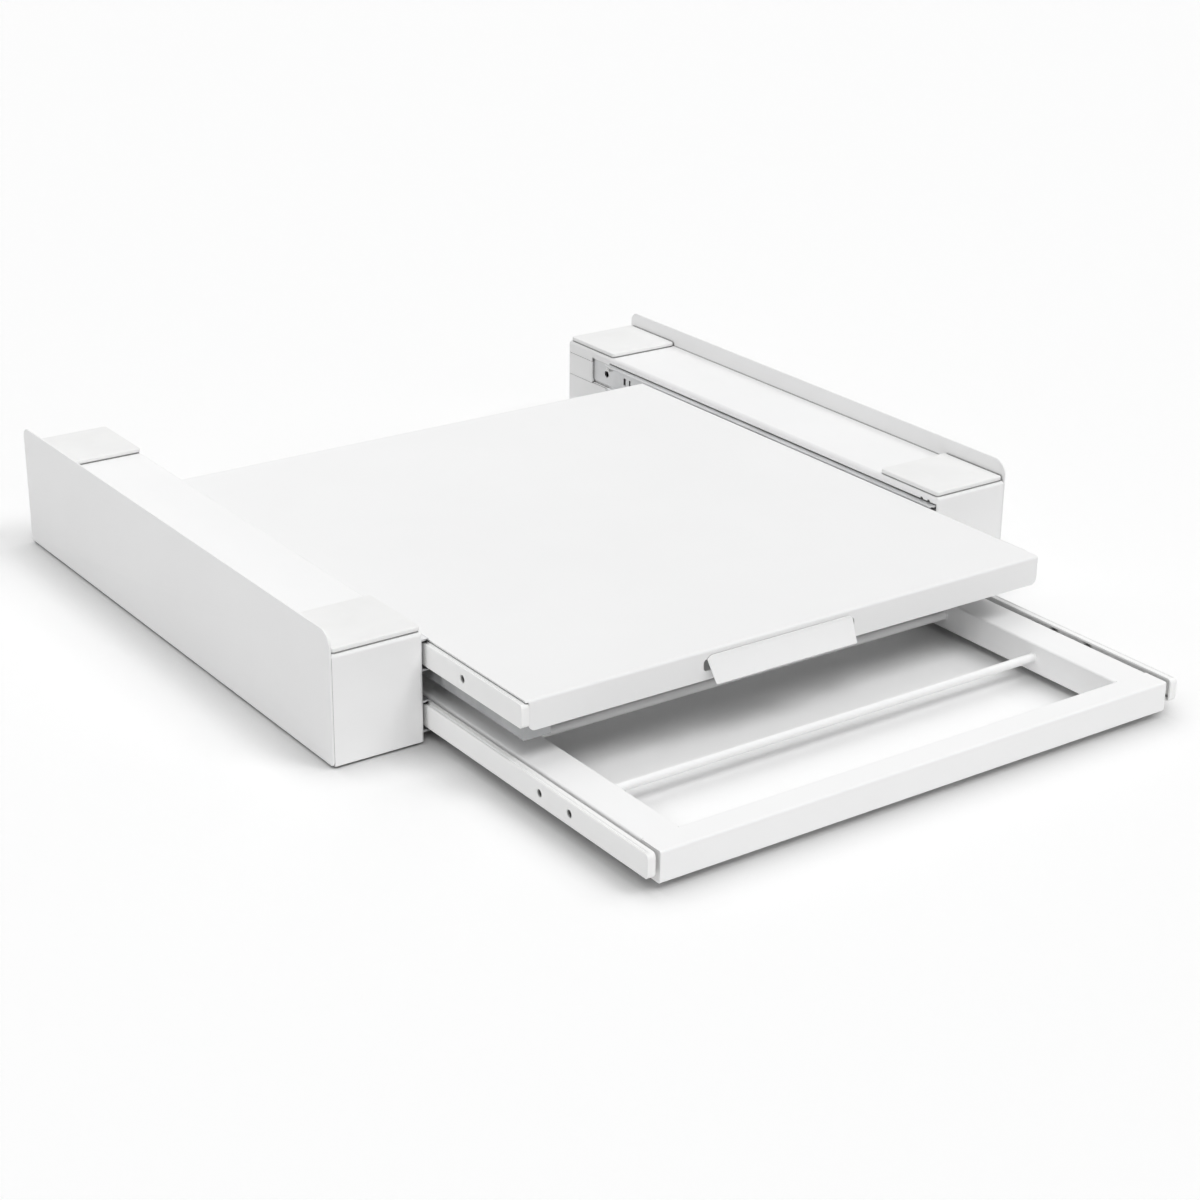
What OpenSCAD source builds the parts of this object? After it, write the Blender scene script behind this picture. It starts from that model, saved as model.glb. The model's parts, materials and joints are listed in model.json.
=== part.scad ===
// Stacking kit that stands a dryer on a washing machine, with a pull-out shelf over a pull-out rack.
// Two sheet-steel housings stand left and right. The shelf and the rack run between them, each on
// two ball-bearing slides. They are drawn part way out, as they stand at rest.
// Origin: the middle of the kit's width and of its depth at rest, on the surface that it stands on.
// +X is right, +Y is back, +Z is up. Lengths are in millimetres and angles in degrees.

/* [Overall] */
// Width over the two side plates
overall_width = 610; // [590:1:640]
// Depth of the housings
housing_depth = 505; // [500:1:560]
// Height of the decks that carry the upper machine
deck_height = 84; // [84:1:110]
// Width of one housing, from its side plate to its inner wall
housing_width = 72; // [55:1:90]
// How far the side plates stand above the decks
rim_height = 16; // [6:1:40]

/* [Housing sheets] */
// Sheet thickness of the side plates
plate_thickness = 1.5; // [1:0.1:2.5]
// Sheet thickness of the covers
cover_thickness = 1.2; // [0.8:0.1:2]
// Sheet thickness of the inner walls
wall_thickness = 1.2; // [0.8:0.1:1.6]
// Radius on the upper front corner of a side plate
front_corner_radius = 12; // [2:0.5:30]
// Radius on the upper rear corner of a side plate
rear_corner_radius = 8; // [2:0.5:30]
// Radius on the lower corners of a side plate
foot_corner_radius = 3; // [0.5:0.5:8]
// Outer radius of the folds of a cover
cover_fold_radius = 3; // [2.2:0.1:5]
// Height of the strip that a cover turns down over the inner wall
cover_strip_height = 11; // [8:0.5:14]
// Depth of the strip that a cover's front turns back along the inner wall
front_return = 12; // [8:0.5:25]
// Height of the strip that a cover turns down along its side plate
cover_seam_height = 20; // [10:1:40]
// Width of the flange that a side plate turns in at its foot
foot_flange = 20; // [16:1:26]
// Distance of that flange from the front and rear ends
foot_flange_inset = 6; // [6:1:20]

/* [Feet and pads] */
// Thickness of the anti-slip strips under the housings
strip_thickness = 2; // [1:0.5:4]
// Width of an anti-slip strip
strip_width = 12; // [8:1:16]
// Distance of the strips from the edges of the housing
strip_inset = 3; // [1:0.5:6]
// Distance of the strips from the front and rear ends
strip_end_inset = 12; // [8:1:40]
// Thickness of the soft pads under the upper machine
pad_thickness = 4; // [2:0.5:8]
// Length of a pad, front to back
pad_length = 67; // [30:1:150]
// Distance of the pads from the housings' ends
pad_end_inset = 1.5; // [0.5:0.5:20]
// Distance of a pad from the deck's inner edge and from the side plate
pad_side_gap = 1; // [0.5:0.5:6]
// Radius on a pad's corners in plan
pad_corner_radius = 2.5; // [0.5:0.5:8]

/* [Slides] */
// Distance of the slides from the housings' fronts
slide_start = 2; // [1.8:0.1:5]
// Distance of the slides' rears from the housings' rears
slide_rear_gap = 37; // [23:1:50]
// Height of a slide's outer rail
slide_height = 23.6; // [23:0.1:24.4]
// Thickness of a slide between the two pieces that it joins
slide_thickness = 11.5; // [11:0.1:12.5]
// How far the outer rails stand back into the inner walls
slide_recess = 3.5; // [2.6:0.1:5]
// Sheet thickness of the rails
rail_sheet = 1.5; // [1.3:0.1:1.7]
// How much shorter an inner rail is than its outer rail
rail_shortfall = 30; // [30:1:80]
// Height of an inner rail
inner_rail_height = 17.6; // [17:0.1:18]
// Depth of an inner rail
inner_rail_depth = 6; // [5.9:0.1:6.3]
// Radius along the edges of an inner rail
inner_rail_radius = 1.2; // [0.4:0.1:1.4]
// Radius on the front corners of an inner rail
inner_rail_nose_radius = 3.5; // [1:0.5:6]
// How far the lips of an outer rail stop short of the piece that slides
rail_mouth_gap = 2.6; // [2.2:0.1:2.7]
// Length of the flat tab at an outer rail's rear
tab_length = 28; // [22:1:32]
// Height of that tab
tab_height = 20.4; // [16:0.2:21]
// Radius of the balls
ball_radius = 1.2; // [1:0.05:1.25]
// Distance of the balls from the piece that slides
ball_offset = 4.2; // [4.1:0.05:4.3]
// Running clearance between a ball and its groove
ball_clearance = 0.2; // [0.1:0.05:0.25]
// Length of a ball cage
cage_length = 78; // [50:1:80]
// Sheet thickness of a ball cage
cage_sheet = 0.5; // [0.3:0.1:0.6]
// Clearance between a ball cage and the rails beside it
cage_gap = 0.6; // [0.4:0.1:0.8]
// Balls in a row
balls_per_row = 6; // [3:1:7]
// Travel of a slide, from closed to fully out
slide_travel = 350; // [300:1:350]
// How far the side channels' carriers stand clear of the outer rails
carrier_gap = 1; // [0.6:0.1:1.4]
// Width of the lips that join a carrier to the wall in front of it
carrier_lip = 2.4; // [1.6:0.1:2.4]

/* [Shelf] */
// Depth of the shelf, front to back
shelf_depth = 500; // [460:1:500]
// How far the shelf lies below the decks
shelf_drop = 8; // [7:0.5:10]
// Height of the shelf's front and rear folds
lip_height = 22; // [19:0.5:24]
// Sheet thickness of the shelf
shelf_sheet = 1.2; // [0.8:0.1:1.6]
// Outer radius of the shelf's folds
shelf_fold_radius = 2; // [1.7:0.1:4]
// Radius on the lower corners of the shelf's folds
lip_corner_radius = 5; // [1:0.5:7]
// How far the shelf's top reaches over its side channels
shelf_overhang = 2; // [0.5:0.1:2.2]
// How far the shelf is drawn out at rest
shelf_out = 117; // [20:1:200]
// Height of a side channel under the shelf
channel_height = 29.4; // [28:0.2:30]
// Width of a side channel
channel_width = 21; // [14:1:40]
// Sheet thickness of a side channel
channel_sheet = 1.5; // [1:0.1:2]
// How far the side channels stand back from the lip's front
channel_setback = 5.6; // [3:0.1:12]
// How much further the right-hand channel and slide stand back from the lip
right_setback = 14; // [0:1:30]
// How far an inner rail's nose stands out past the front of what it carries
nose_reach = 0.5; // [0:0.1:1.5]
// Height of the two stiffeners under the shelf
stiffener_height = 15; // [8:1:20]
// Width of the crown of a stiffener
stiffener_crown = 40; // [20:1:80]
// Width of a stiffener's side flanges
stiffener_flange = 12; // [8:1:20]

/* [Pull] */
// Width of the pull along its top edge
pull_width = 128; // [60:1:240]
// How far the pull is shifted from the shelf's middle
pull_shift = -17; // [-60:1:60]
// How far the sides of the pull lean in from top to bottom
pull_taper = 2; // [0:0.5:6]
// Distance of the pull's top below the shelf's top
pull_drop = 4; // [3.5:0.5:5]
// Height of the pull's flat upper edge, which is joined to the lip
pull_root = 2.6; // [2:0.1:3]
// Height of the pull's leaning face
pull_fall = 15.8; // [12:0.1:17]
// How far the pull's lower edge stands out from its upper edge
pull_reach = 8.6; // [7:0.1:12]
// Sheet thickness of the pull
pull_sheet = 1.2; // [0.8:0.1:1.4]
// Height of the finger slot in the lip behind the pull
finger_slot_height = 9; // [6:0.5:9]
// How far that slot reaches past the pull's side
finger_slot_overlap = 2.5; // [0:0.5:5]
// Radius on the finger slot's corners
finger_slot_radius = 3; // [1:0.5:3]

/* [Rack] */
// How far the rack reaches back past its inner rails
rack_tail = 29.5; // [10:0.5:34]
// How far the rack is drawn out at rest
rack_out = 256; // [60:1:300]
// Clearance under the rack
rack_clearance = 5.5; // [4:0.5:7]
// Height of the rack's tubes
tube_height = 22.5; // [20:0.5:24]
// Width of the rack's side tubes
side_tube_width = 30; // [18:1:40]
// Width of the rack's front and rear tubes
end_tube_width = 21; // [18:1:40]
// Wall thickness of the tubes
tube_wall = 1.5; // [1:0.1:2.5]
// Radius along the edges of the tubes
tube_radius = 1.6; // [0.6:0.1:3]
// Number of cross rods
rod_count = 4; // [1:1:4]
// Distance of the first rod's middle behind the front tube
rod_start = 80; // [60:1:95]
// Distance from one rod's middle to the next
rod_pitch = 95; // [40:1:105]
// Diameter of a cross rod
rod_diameter = 6.5; // [5:0.5:12]
// How far a cross rod reaches into a side tube
rod_insertion = 4; // [2:0.5:8]
// Distance of the rods' middle above the tubes' underside
rod_height = 11.5; // [8:0.5:13]
// How far the rack slides' middle stands above the tubes' middle
rack_slide_rise = 3.2; // [1.5:0.1:4]
// Length of the spacers between the tubes and their slides
spacer_length = 4; // [2:0.5:8]
// Depth of the plugs in the ends of the front and rear tubes
plug_depth = 8; // [3:1:20]

/* [Cross rails] */
// Height of the two rails that hold the housings together
cross_rail_height = 10; // [8:0.5:11]
// Width of a cross rail
cross_rail_width = 25; // [16:1:40]
// Wall thickness of a cross rail
cross_rail_wall = 1.2; // [0.8:0.1:2]
// Clearance between the cross rails and the shelf above them
cross_rail_gap = 1.2; // [0.8:0.1:2]
// Distance of the cross rails' middles from the housings' ends
cross_rail_inset = 88; // [70:1:120]
// How far an end tab reaches past its rail, front and back
rail_tab_reach = 12; // [10:1:20]

/* [Screws] */
// Diameter of the screws in the inner rails
rail_screw_diameter = 3; // [2.5:0.1:3]
// Diameter of their heads
rail_screw_head = 5; // [4.4:0.1:5]
// Height of their heads
rail_screw_head_height = 1.6; // [1:0.1:2]
// Diameter of the screws in the outer rails and the cross rails
frame_screw_diameter = 4; // [3:0.1:4]
// Diameter of their heads
frame_screw_head = 7; // [6:0.1:7.4]
// Height of their heads
frame_screw_head_height = 1.3; // [0.8:0.1:1.4]
// How far a screw reaches past the last sheet
screw_reach = 2.5; // [1:0.1:3]
// Radial clearance of a screw in its hole
screw_clearance = 0.1; // [0.05:0.01:0.15]
// Width of the cross slot in a screw head
slot_width = 0.9; // [0.5:0.1:1.2]
// Wall of the cup that a screw head sits in
cup_wall = 1.2; // [0.8:0.1:1.5]
// Width of the bevel round a cup's mouth
cup_bevel = 0.7; // [0.2:0.1:0.9]
// Radial clearance of a screw head in its cup
cup_clearance = 0.2; // [0.1:0.05:0.4]

/* [Hidden] */
$fn = 48;

// How far a cutting shape runs past what it cuts
overrun = 1;
// Gap left between two sheets that meet edge to edge
seam_gap = 0.3;
// Gap between an outer rail and the edges of the opening that it lies in
window_gap = 0.7;
// Colours as the photograph shows them
WHITE = [0.93, 0.93, 0.92];
SHADED = [0.84, 0.84, 0.83];
ZINC = [0.70, 0.71, 0.72];
SOFT = [0.87, 0.87, 0.85];
RUBBER = [0.30, 0.30, 0.30];
DARK = [0.22, 0.22, 0.23];
// Sides of the kit
LEFT = -1;
RIGHT = 1;
SIDES = [LEFT, RIGHT];

// Housings
outer_half = overall_width / 2;
plate_face = outer_half - plate_thickness;
inner_half = outer_half - housing_width;
rim_top = deck_height + rim_height;
wall_back = inner_half + wall_thickness;
strip_bottom = deck_height - cover_strip_height;

// Slides: the face that an outer rail is fixed to, and the face that an inner rail is fixed to
slide_length = housing_depth - slide_start - slide_rear_gap;
inner_rail_length = slide_length - rail_shortfall;
carrier_face = inner_half + slide_recess;
runner_face = carrier_face - slide_thickness;
slide_end = slide_start + slide_length;
tab_start = slide_end - tab_length;
half_slide = slide_height / 2;
half_inner_rail = inner_rail_height / 2;
race_gap = half_slide - rail_sheet - half_inner_rail;
ball_height = half_inner_rail + race_gap / 2;
groove_radius = ball_radius + ball_clearance;
cage_web = inner_rail_depth + cage_gap;
cage_start = slide_start + cage_gap;
closed_rail_rear = inner_rail_length - nose_reach;
ball_pitch = cage_length / balls_per_row;
cup_radius = rail_screw_head / 2 + cup_clearance;
cup_floor = cup_wall;

// Shelf
shelf_top_z = deck_height - shelf_drop;
shelf_half = runner_face + shelf_overhang;
shelf_front = -shelf_out;
shelf_nose = shelf_front - nose_reach;
shelf_rear = shelf_front + shelf_depth;
shelf_under = shelf_top_z - shelf_sheet;
lip_bottom = shelf_top_z - lip_height;
lip_joint = shelf_top_z - shelf_fold_radius;
channel_bottom = shelf_under - channel_height;
shelf_slide_z = shelf_under - seam_gap - half_inner_rail;
channel_rear = shelf_rear - shelf_sheet - seam_gap;

// Rack
tube_half = runner_face - spacer_length;
window_half = tube_half - side_tube_width;
rack_depth = closed_rail_rear + rack_tail;
rack_front = -rack_out;
rack_nose = rack_front - nose_reach;
rack_rear = rack_front + rack_depth;
rack_top = rack_clearance + tube_height;
rack_slide_z = rack_clearance + tube_height / 2 + rack_slide_rise;

// Middle of the kit's depth at rest, counted from the housings' fronts
middle_depth = (min(rack_nose, shelf_front - pull_reach - pull_sheet) + housing_depth) / 2;

// Inner walls end at the middle of the strip between the two slides of a side
wall_top = shelf_slide_z - half_slide - carrier_gap - window_gap;
patch_top = strip_bottom - seam_gap;
patch_start = slide_end + window_gap;

// Cross rails
cross_rail_top = channel_bottom - cross_rail_gap;
cross_rail_bottom = cross_rail_top - cross_rail_height;
cross_rail_middle = (cross_rail_top + cross_rail_bottom) / 2;
cross_rail_places = [cross_rail_inset, housing_depth - cross_rail_inset];
rail_screw_spread = cross_rail_width / 2 + rail_tab_reach / 2;

// Places of the screws as shares of the rail's length, from its front
outer_screw_shares = [0.07, 0.48, 0.83];
shelf_screw_shares = [0.165, 0.55, 0.92];
rack_screw_shares = [0.195, 0.273, 0.92];
// Places of the plain hole and the two narrow slots in an outer rail, as shares of its length
rail_hole_share = 0.957;
rail_slot_shares = [0.875, 0.893];
rail_hole_radius = 3.2;
rail_slot_height = 6.4;
rail_slot_width = 3.2;
// How far the carriers' openings behind the hole and the slots reach past them
sight_gap = 1.4;
// Notches for the cover's clips in the strip over the shelf's right-hand and left-hand slides
clip_notch_radius = 1.6;
clip_notch_places = [slide_start + 5 * clip_notch_radius, slide_start + 10 * clip_notch_radius];
// Stop behind a closed inner rail
bumper_length = 4;
bumper_height = 4;
bumper_standoff = 3.5;

// Moves what is drawn back from the housings' fronts into the kit's own frame
module in_frame() {
    translate([0, -middle_depth, 0])
        children();
}

// Mirrors what is drawn for the right-hand side when the left-hand side is asked for
module on_side(side) {
    if (side == LEFT)
        mirror([1, 0, 0]) children();
    else
        children();
}

// Block between its lowest and its highest corner
module block(low, high) {
    translate(low)
        cube(high - low);
}

// Runs a profile drawn in X and Z along Y
module along_y(from, to) {
    translate([0, to, 0])
        rotate([90, 0, 0])
            linear_extrude(to - from)
                children();
}

// Runs a profile drawn in Y and Z along X
module along_x(from, to) {
    translate([from, 0, 0])
        rotate([90, 0, 90])
            linear_extrude(to - from)
                children();
}

// Cylinder along X between two places
module x_cylinder(from, to, radius) {
    translate([from, 0, 0])
        rotate([0, 90, 0])
            cylinder(h = to - from, r = radius);
}

// What is left outside a quarter circle, at the origin's corner
module corner_cut(radius) {
    difference() {
        translate([-overrun, -overrun])
            square(radius + overrun);
        translate([radius, radius])
            circle(radius);
    }
}

// Rectangle with four corner radii: lower left, lower right, upper right, upper left
module rounded_rectangle(size, radii) {
    corners = [[0, 0], [size.x, 0], size, [0, size.y]];
    difference() {
        square(size);
        for (corner = [0:3])
            if (radii[corner] > 0)
                translate(corners[corner])
                    rotate(90 * corner)
                        corner_cut(radii[corner]);
    }
}

// Side plate with its foot flange
module side_plate(side) {
    color(WHITE)
        in_frame()
            on_side(side)
                union() {
                    along_x(plate_face, outer_half)
                        translate([0, strip_thickness])
                            rounded_rectangle(
                                [housing_depth, rim_top - strip_thickness],
                                [
                                    foot_corner_radius,
                                    foot_corner_radius,
                                    rear_corner_radius,
                                    front_corner_radius
                                ]
                            );
                    block(
                        [outer_half - foot_flange, foot_flange_inset, strip_thickness],
                        [
                            outer_half,
                            housing_depth - foot_flange_inset,
                            strip_thickness + plate_thickness
                        ]
                    );
                }
}

// Space that a cover wraps, drawn in by the given amount, with its three folded edges rounded
module cover_envelope(inset, reach) {
    radius = cover_fold_radius - inset;
    low = [inner_half + inset, inset, strip_thickness - reach];
    high = [plate_face + reach, housing_depth + reach, deck_height - inset];
    size = high - low;
    intersection() {
        along_x(low.x, high.x)
            translate([low.y, low.z])
                rounded_rectangle([size.y, size.z], [0, 0, 0, radius]);
        along_y(low.y, high.y)
            translate([low.x, low.z])
                rounded_rectangle([size.x, size.z], [0, 0, 0, radius]);
        translate([0, 0, low.z])
            linear_extrude(size.z)
                translate([low.x, low.y])
                    rounded_rectangle([size.x, size.y], [radius, 0, 0, 0]);
    }
}

// Opening that an outer rail lies in, cut through a sheet on the inner wall's plane
module slide_window(slide_z) {
    half_window = half_slide + window_gap;
    half_tab = tab_height / 2 + window_gap;
    front = cover_thickness + seam_gap;
    block(
        [inner_half - overrun, front, slide_z - half_window],
        [wall_back + overrun, tab_start + window_gap, slide_z + half_window]
    );
    block(
        [inner_half - overrun, front, slide_z - half_tab],
        [wall_back + overrun, slide_end + window_gap, slide_z + half_tab]
    );
}

// Small round notches at the lower edge of a cover's strip, near its front
module clip_notches() {
    for (place = clip_notch_places)
        translate([0, place, shelf_slide_z + half_slide + window_gap])
            x_cylinder(inner_half - overrun, wall_back + overrun, clip_notch_radius);
}

// Cover: deck, front panel, strip over the inner wall, and seam strip along the side plate
module cover(side) {
    color(WHITE)
        in_frame()
            on_side(side)
                difference() {
                    cover_envelope(0, 0);
                    difference() {
                        cover_envelope(cover_thickness, overrun);
                        block(
                            [plate_face - cover_thickness, 0, deck_height - cover_seam_height],
                            [plate_face + overrun, housing_depth + overrun, deck_height]
                        );
                    }
                    block(
                        [inner_half - overrun, front_return, 0],
                        [inner_half + cover_fold_radius, housing_depth + overrun, strip_bottom]
                    );
                    slide_window(shelf_slide_z);
                    slide_window(rack_slide_z);
                    clip_notches();
                }
}

// Inner wall with its foot flange and the rear panel that it turns into
module inner_wall(side) {
    panel_top = deck_height - cover_thickness - seam_gap;
    panel_front = housing_depth - wall_thickness;
    color(WHITE)
        in_frame()
            on_side(side)
                difference() {
                    union() {
                        block(
                            [inner_half, front_return + seam_gap, strip_thickness],
                            [wall_back, housing_depth, wall_top]
                        );
                        block(
                            [inner_half, front_return + seam_gap, strip_thickness],
                            [inner_half + foot_flange, panel_front, strip_thickness + wall_thickness]
                        );
                        block(
                            [inner_half, panel_front, strip_thickness],
                            [plate_face - cover_thickness - seam_gap, housing_depth, panel_top]
                        );
                    }
                    block(
                        [inner_half - overrun, panel_front - overrun, wall_top],
                        [wall_back + seam_gap, housing_depth + overrun, panel_top + overrun]
                    );
                    slide_window(rack_slide_z);
                    for (place = cross_rail_places, way = SIDES)
                        translate([0, place + way * rail_screw_spread, cross_rail_middle])
                            x_cylinder(
                                inner_half - overrun,
                                wall_back + overrun,
                                frame_screw_diameter / 2 + screw_clearance
                            );
                }
}

// Places the pieces that repeat along an outer rail
module at_outer_screws(slide_z) {
    for (share = outer_screw_shares)
        translate([0, slide_start + share * slide_length, slide_z])
            children();
}

// Hat-shaped carrier behind an outer rail, welded to the sheets in front of it
module slide_carrier(slide_z, upper_lip) {
    rear = housing_depth - wall_thickness - seam_gap;
    half_inside = half_slide + carrier_gap;
    half_outside = half_inside + wall_thickness;
    bottom = slide_z - half_outside - carrier_lip;
    top = slide_z + half_outside + upper_lip;
    difference() {
        intersection() {
            cover_envelope(cover_thickness, overrun);
            along_y(slide_start, rear)
                difference() {
                    translate([wall_back, bottom])
                        square([carrier_face + wall_thickness - wall_back, top - bottom]);
                    translate([wall_back - overrun, slide_z - half_inside])
                        square([carrier_face - wall_back + overrun, 2 * half_inside]);
                    translate([wall_back + wall_thickness, bottom - overrun])
                        square([carrier_face, carrier_lip + overrun]);
                    translate([wall_back + wall_thickness, slide_z + half_outside])
                        square([carrier_face, upper_lip + overrun]);
                }
        }
        at_outer_screws(slide_z)
            x_cylinder(
                carrier_face - overrun,
                carrier_face + wall_thickness + overrun,
                frame_screw_diameter / 2 + screw_clearance
            );
        rail_rear_holes(
            slide_z,
            carrier_face - overrun,
            carrier_face + wall_thickness + overrun,
            sight_gap
        );
    }
}

// Carrier of a shelf slide: its rear end steps forward to close the wall behind the slide
module shelf_slide_carrier(side) {
    upper_lip = deck_height - cover_thickness - seam_gap
        - (shelf_slide_z + half_slide + carrier_gap + wall_thickness);
    patch_bottom = wall_top + seam_gap;
    color(WHITE)
        in_frame()
            on_side(side)
                union() {
                    slide_carrier(shelf_slide_z, upper_lip);
                    block(
                        [inner_half, patch_start, patch_bottom],
                        [wall_back, housing_depth, patch_top]
                    );
                    block(
                        [inner_half, patch_start, patch_bottom + wall_thickness],
                        [carrier_face + wall_thickness, patch_start + wall_thickness, patch_top]
                    );
                }
}

// Carrier of a rack slide
module rack_slide_carrier(side) {
    color(WHITE)
        in_frame()
            on_side(side)
                slide_carrier(rack_slide_z, carrier_lip);
}

// Tube across the kit with a screwed tab at each end
module cross_rail(place) {
    front = place - cross_rail_width / 2;
    rear = place + cross_rail_width / 2;
    tab_face = inner_half - cross_rail_wall;
    color(WHITE)
        in_frame()
            difference() {
                union() {
                    block([-tab_face, front, cross_rail_bottom], [tab_face, rear, cross_rail_top]);
                    for (side = SIDES)
                        on_side(side)
                            block(
                                [tab_face, front - rail_tab_reach, cross_rail_bottom],
                                [inner_half, rear + rail_tab_reach, cross_rail_top]
                            );
                }
                block(
                    [-tab_face, front + cross_rail_wall, cross_rail_bottom + cross_rail_wall],
                    [tab_face, rear - cross_rail_wall, cross_rail_top - cross_rail_wall]
                );
                for (side = SIDES, way = SIDES)
                    on_side(side)
                        translate([0, place + way * rail_screw_spread, cross_rail_middle])
                            x_cylinder(
                                tab_face - overrun,
                                inner_half + overrun,
                                frame_screw_diameter / 2 + screw_clearance
                            );
            }
}

// Pan-head screw along X: its head lies between the given places, and its shank points outwards
module screw(head_from, seat, tip, head_diameter, shank_diameter) {
    head_height = abs(seat - head_from);
    way = sign(tip - seat);
    x_low = min(head_from, seat);
    slot_low = way > 0 ? head_from - overrun : head_from - head_height / 2;
    slot_length = head_height / 2 + overrun;
    difference() {
        union() {
            x_cylinder(x_low, x_low + head_height, head_diameter / 2);
            x_cylinder(min(seat, tip), max(seat, tip), shank_diameter / 2);
        }
        for (turn = [0, 90])
            rotate([turn, 0, 0])
                translate([slot_low, -slot_width / 2, -head_diameter / 3])
                    cube([slot_length, slot_width, 2 * head_diameter / 3]);
    }
}

// Screws that hold the cross rails' tabs to the inner walls
module cross_rail_screws() {
    seat = inner_half - cross_rail_wall;
    color(ZINC)
        in_frame()
            for (side = SIDES, place = cross_rail_places, way = SIDES)
                on_side(side)
                    translate([0, place + way * rail_screw_spread, cross_rail_middle])
                        screw(
                            seat - frame_screw_head_height,
                            seat,
                            wall_back + screw_reach,
                            frame_screw_head,
                            frame_screw_diameter
                        );
}

// Soft pad on a deck
module pad(side, front) {
    inner_edge = inner_half + pad_side_gap;
    color(SOFT)
        in_frame()
            on_side(side)
                translate([inner_edge, front, deck_height])
                    linear_extrude(pad_thickness)
                        rounded_rectangle(
                            [plate_face - pad_side_gap - inner_edge, pad_length],
                            [for (corner = [0:3]) pad_corner_radius]
                        );
}

// Two anti-slip strips under one housing
module underside_strips(side) {
    inner_edges = [inner_half + strip_inset, outer_half - strip_inset - strip_width];
    color(RUBBER)
        in_frame()
            on_side(side)
                for (edge = inner_edges)
                    block(
                        [edge, front_return + strip_end_inset, 0],
                        [edge + strip_width, housing_depth - strip_end_inset, strip_thickness]
                    );
}

// Plain hole and narrow slots near an outer rail's rear, grown by the given amount
module rail_rear_holes(slide_z, from, to, grown) {
    translate([0, slide_start + rail_hole_share * slide_length, slide_z])
        x_cylinder(from, to, rail_hole_radius + grown);
    for (share = rail_slot_shares)
        block(
            [
                from,
                slide_start + share * slide_length - grown,
                slide_z - rail_slot_height / 2 - grown
            ],
            [
                to,
                slide_start + share * slide_length + rail_slot_width + grown,
                slide_z + rail_slot_height / 2 + grown
            ]
        );
}

// Outer rail of a slide: a channel with curled lips, ball grooves and a flat tab at its rear
module outer_rail(slide_z) {
    inside = half_slide - rail_sheet;
    web = slide_thickness - rail_sheet;
    difference() {
        union() {
            along_y(slide_start, tab_start)
                difference() {
                    translate([runner_face + rail_mouth_gap, slide_z - half_slide])
                        rounded_rectangle(
                            [slide_thickness - rail_mouth_gap, slide_height],
                            [0, rail_sheet, rail_sheet, 0]
                        );
                    translate([runner_face, slide_z - inside])
                        square([web, 2 * inside]);
                    for (way = SIDES)
                        translate([runner_face + ball_offset, slide_z + way * ball_height])
                            circle(groove_radius);
                }
            along_x(carrier_face - rail_sheet, carrier_face)
                translate([tab_start, slide_z - tab_height / 2])
                    rounded_rectangle([tab_length, tab_height], [0, rail_sheet, rail_sheet, 0]);
        }
        at_outer_screws(slide_z)
            x_cylinder(
                runner_face,
                carrier_face + overrun,
                frame_screw_diameter / 2 + screw_clearance
            );
        rail_rear_holes(slide_z, runner_face, carrier_face + overrun, 0);
    }
}

// Outer rail on one side
module side_outer_rail(side, slide_z) {
    color(ZINC)
        in_frame()
            on_side(side)
                outer_rail(slide_z);
}

// Screws that hold the four outer rails to their carriers
module outer_rail_screws() {
    seat = carrier_face - rail_sheet;
    color(ZINC)
        in_frame()
            for (side = SIDES, slide_z = [shelf_slide_z, rack_slide_z])
                on_side(side)
                    at_outer_screws(slide_z)
                        screw(
                            seat - frame_screw_head_height,
                            seat,
                            carrier_face + wall_thickness + screw_reach,
                            frame_screw_head,
                            frame_screw_diameter
                        );
}

// Plastic stops that the closing inner rails come to rest against
module closing_bumpers() {
    front = closed_rail_rear + seam_gap;
    color(WHITE)
        in_frame()
            for (side = SIDES, slide_z = [shelf_slide_z, rack_slide_z])
                on_side(side)
                    translate([0, 0, slide_z + half_slide - rail_sheet])
                        block(
                            [runner_face + bumper_standoff, front, -bumper_height],
                            [carrier_face - rail_sheet, front + bumper_length, 0]
                        );
}

// Half width of the front lip on one side: the left-hand rail's nose passes its end
function fold_half(side) = side == LEFT ? runner_face - seam_gap : shelf_half;

// Folded outline of the shelf's sheet: front lip, top and rear fold
module shelf_outline() {
    inner_radius = shelf_fold_radius - shelf_sheet;
    difference() {
        translate([shelf_front, lip_bottom])
            rounded_rectangle(
                [shelf_depth, lip_height],
                [0, 0, shelf_fold_radius, shelf_fold_radius]
            );
        translate([shelf_front + shelf_sheet, lip_bottom - overrun])
            rounded_rectangle(
                [shelf_depth - 2 * shelf_sheet, lip_height - shelf_sheet + overrun],
                [0, 0, inner_radius, inner_radius]
            );
    }
}

// What is cut from the shelf's sides: rounded lower corners, and room for the inner rails
module shelf_side_cuts() {
    for (side = SIDES)
        on_side(side) {
            along_y(shelf_front - overrun, shelf_rear + overrun)
                translate([fold_half(side), lip_bottom])
                    rotate(90)
                        corner_cut(lip_corner_radius);
            block(
                [
                    runner_face - seam_gap,
                    shelf_nose + shelf_side_setback(side) - seam_gap,
                    lip_bottom - overrun
                ],
                [shelf_half + overrun, shelf_rear + overrun, shelf_under]
            );
        }
}

// Top of the shelf with its front fold and its rear fold
module shelf_top() {
    color(WHITE)
        in_frame()
            difference() {
                along_x(-shelf_half, shelf_half)
                    shelf_outline();
                shelf_side_cuts();
                block(
                    [-shelf_half - overrun, shelf_front - overrun, lip_bottom - overrun],
                    [shelf_half + overrun, shelf_front + shelf_sheet + overrun, lip_joint]
                );
            }
}

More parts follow.
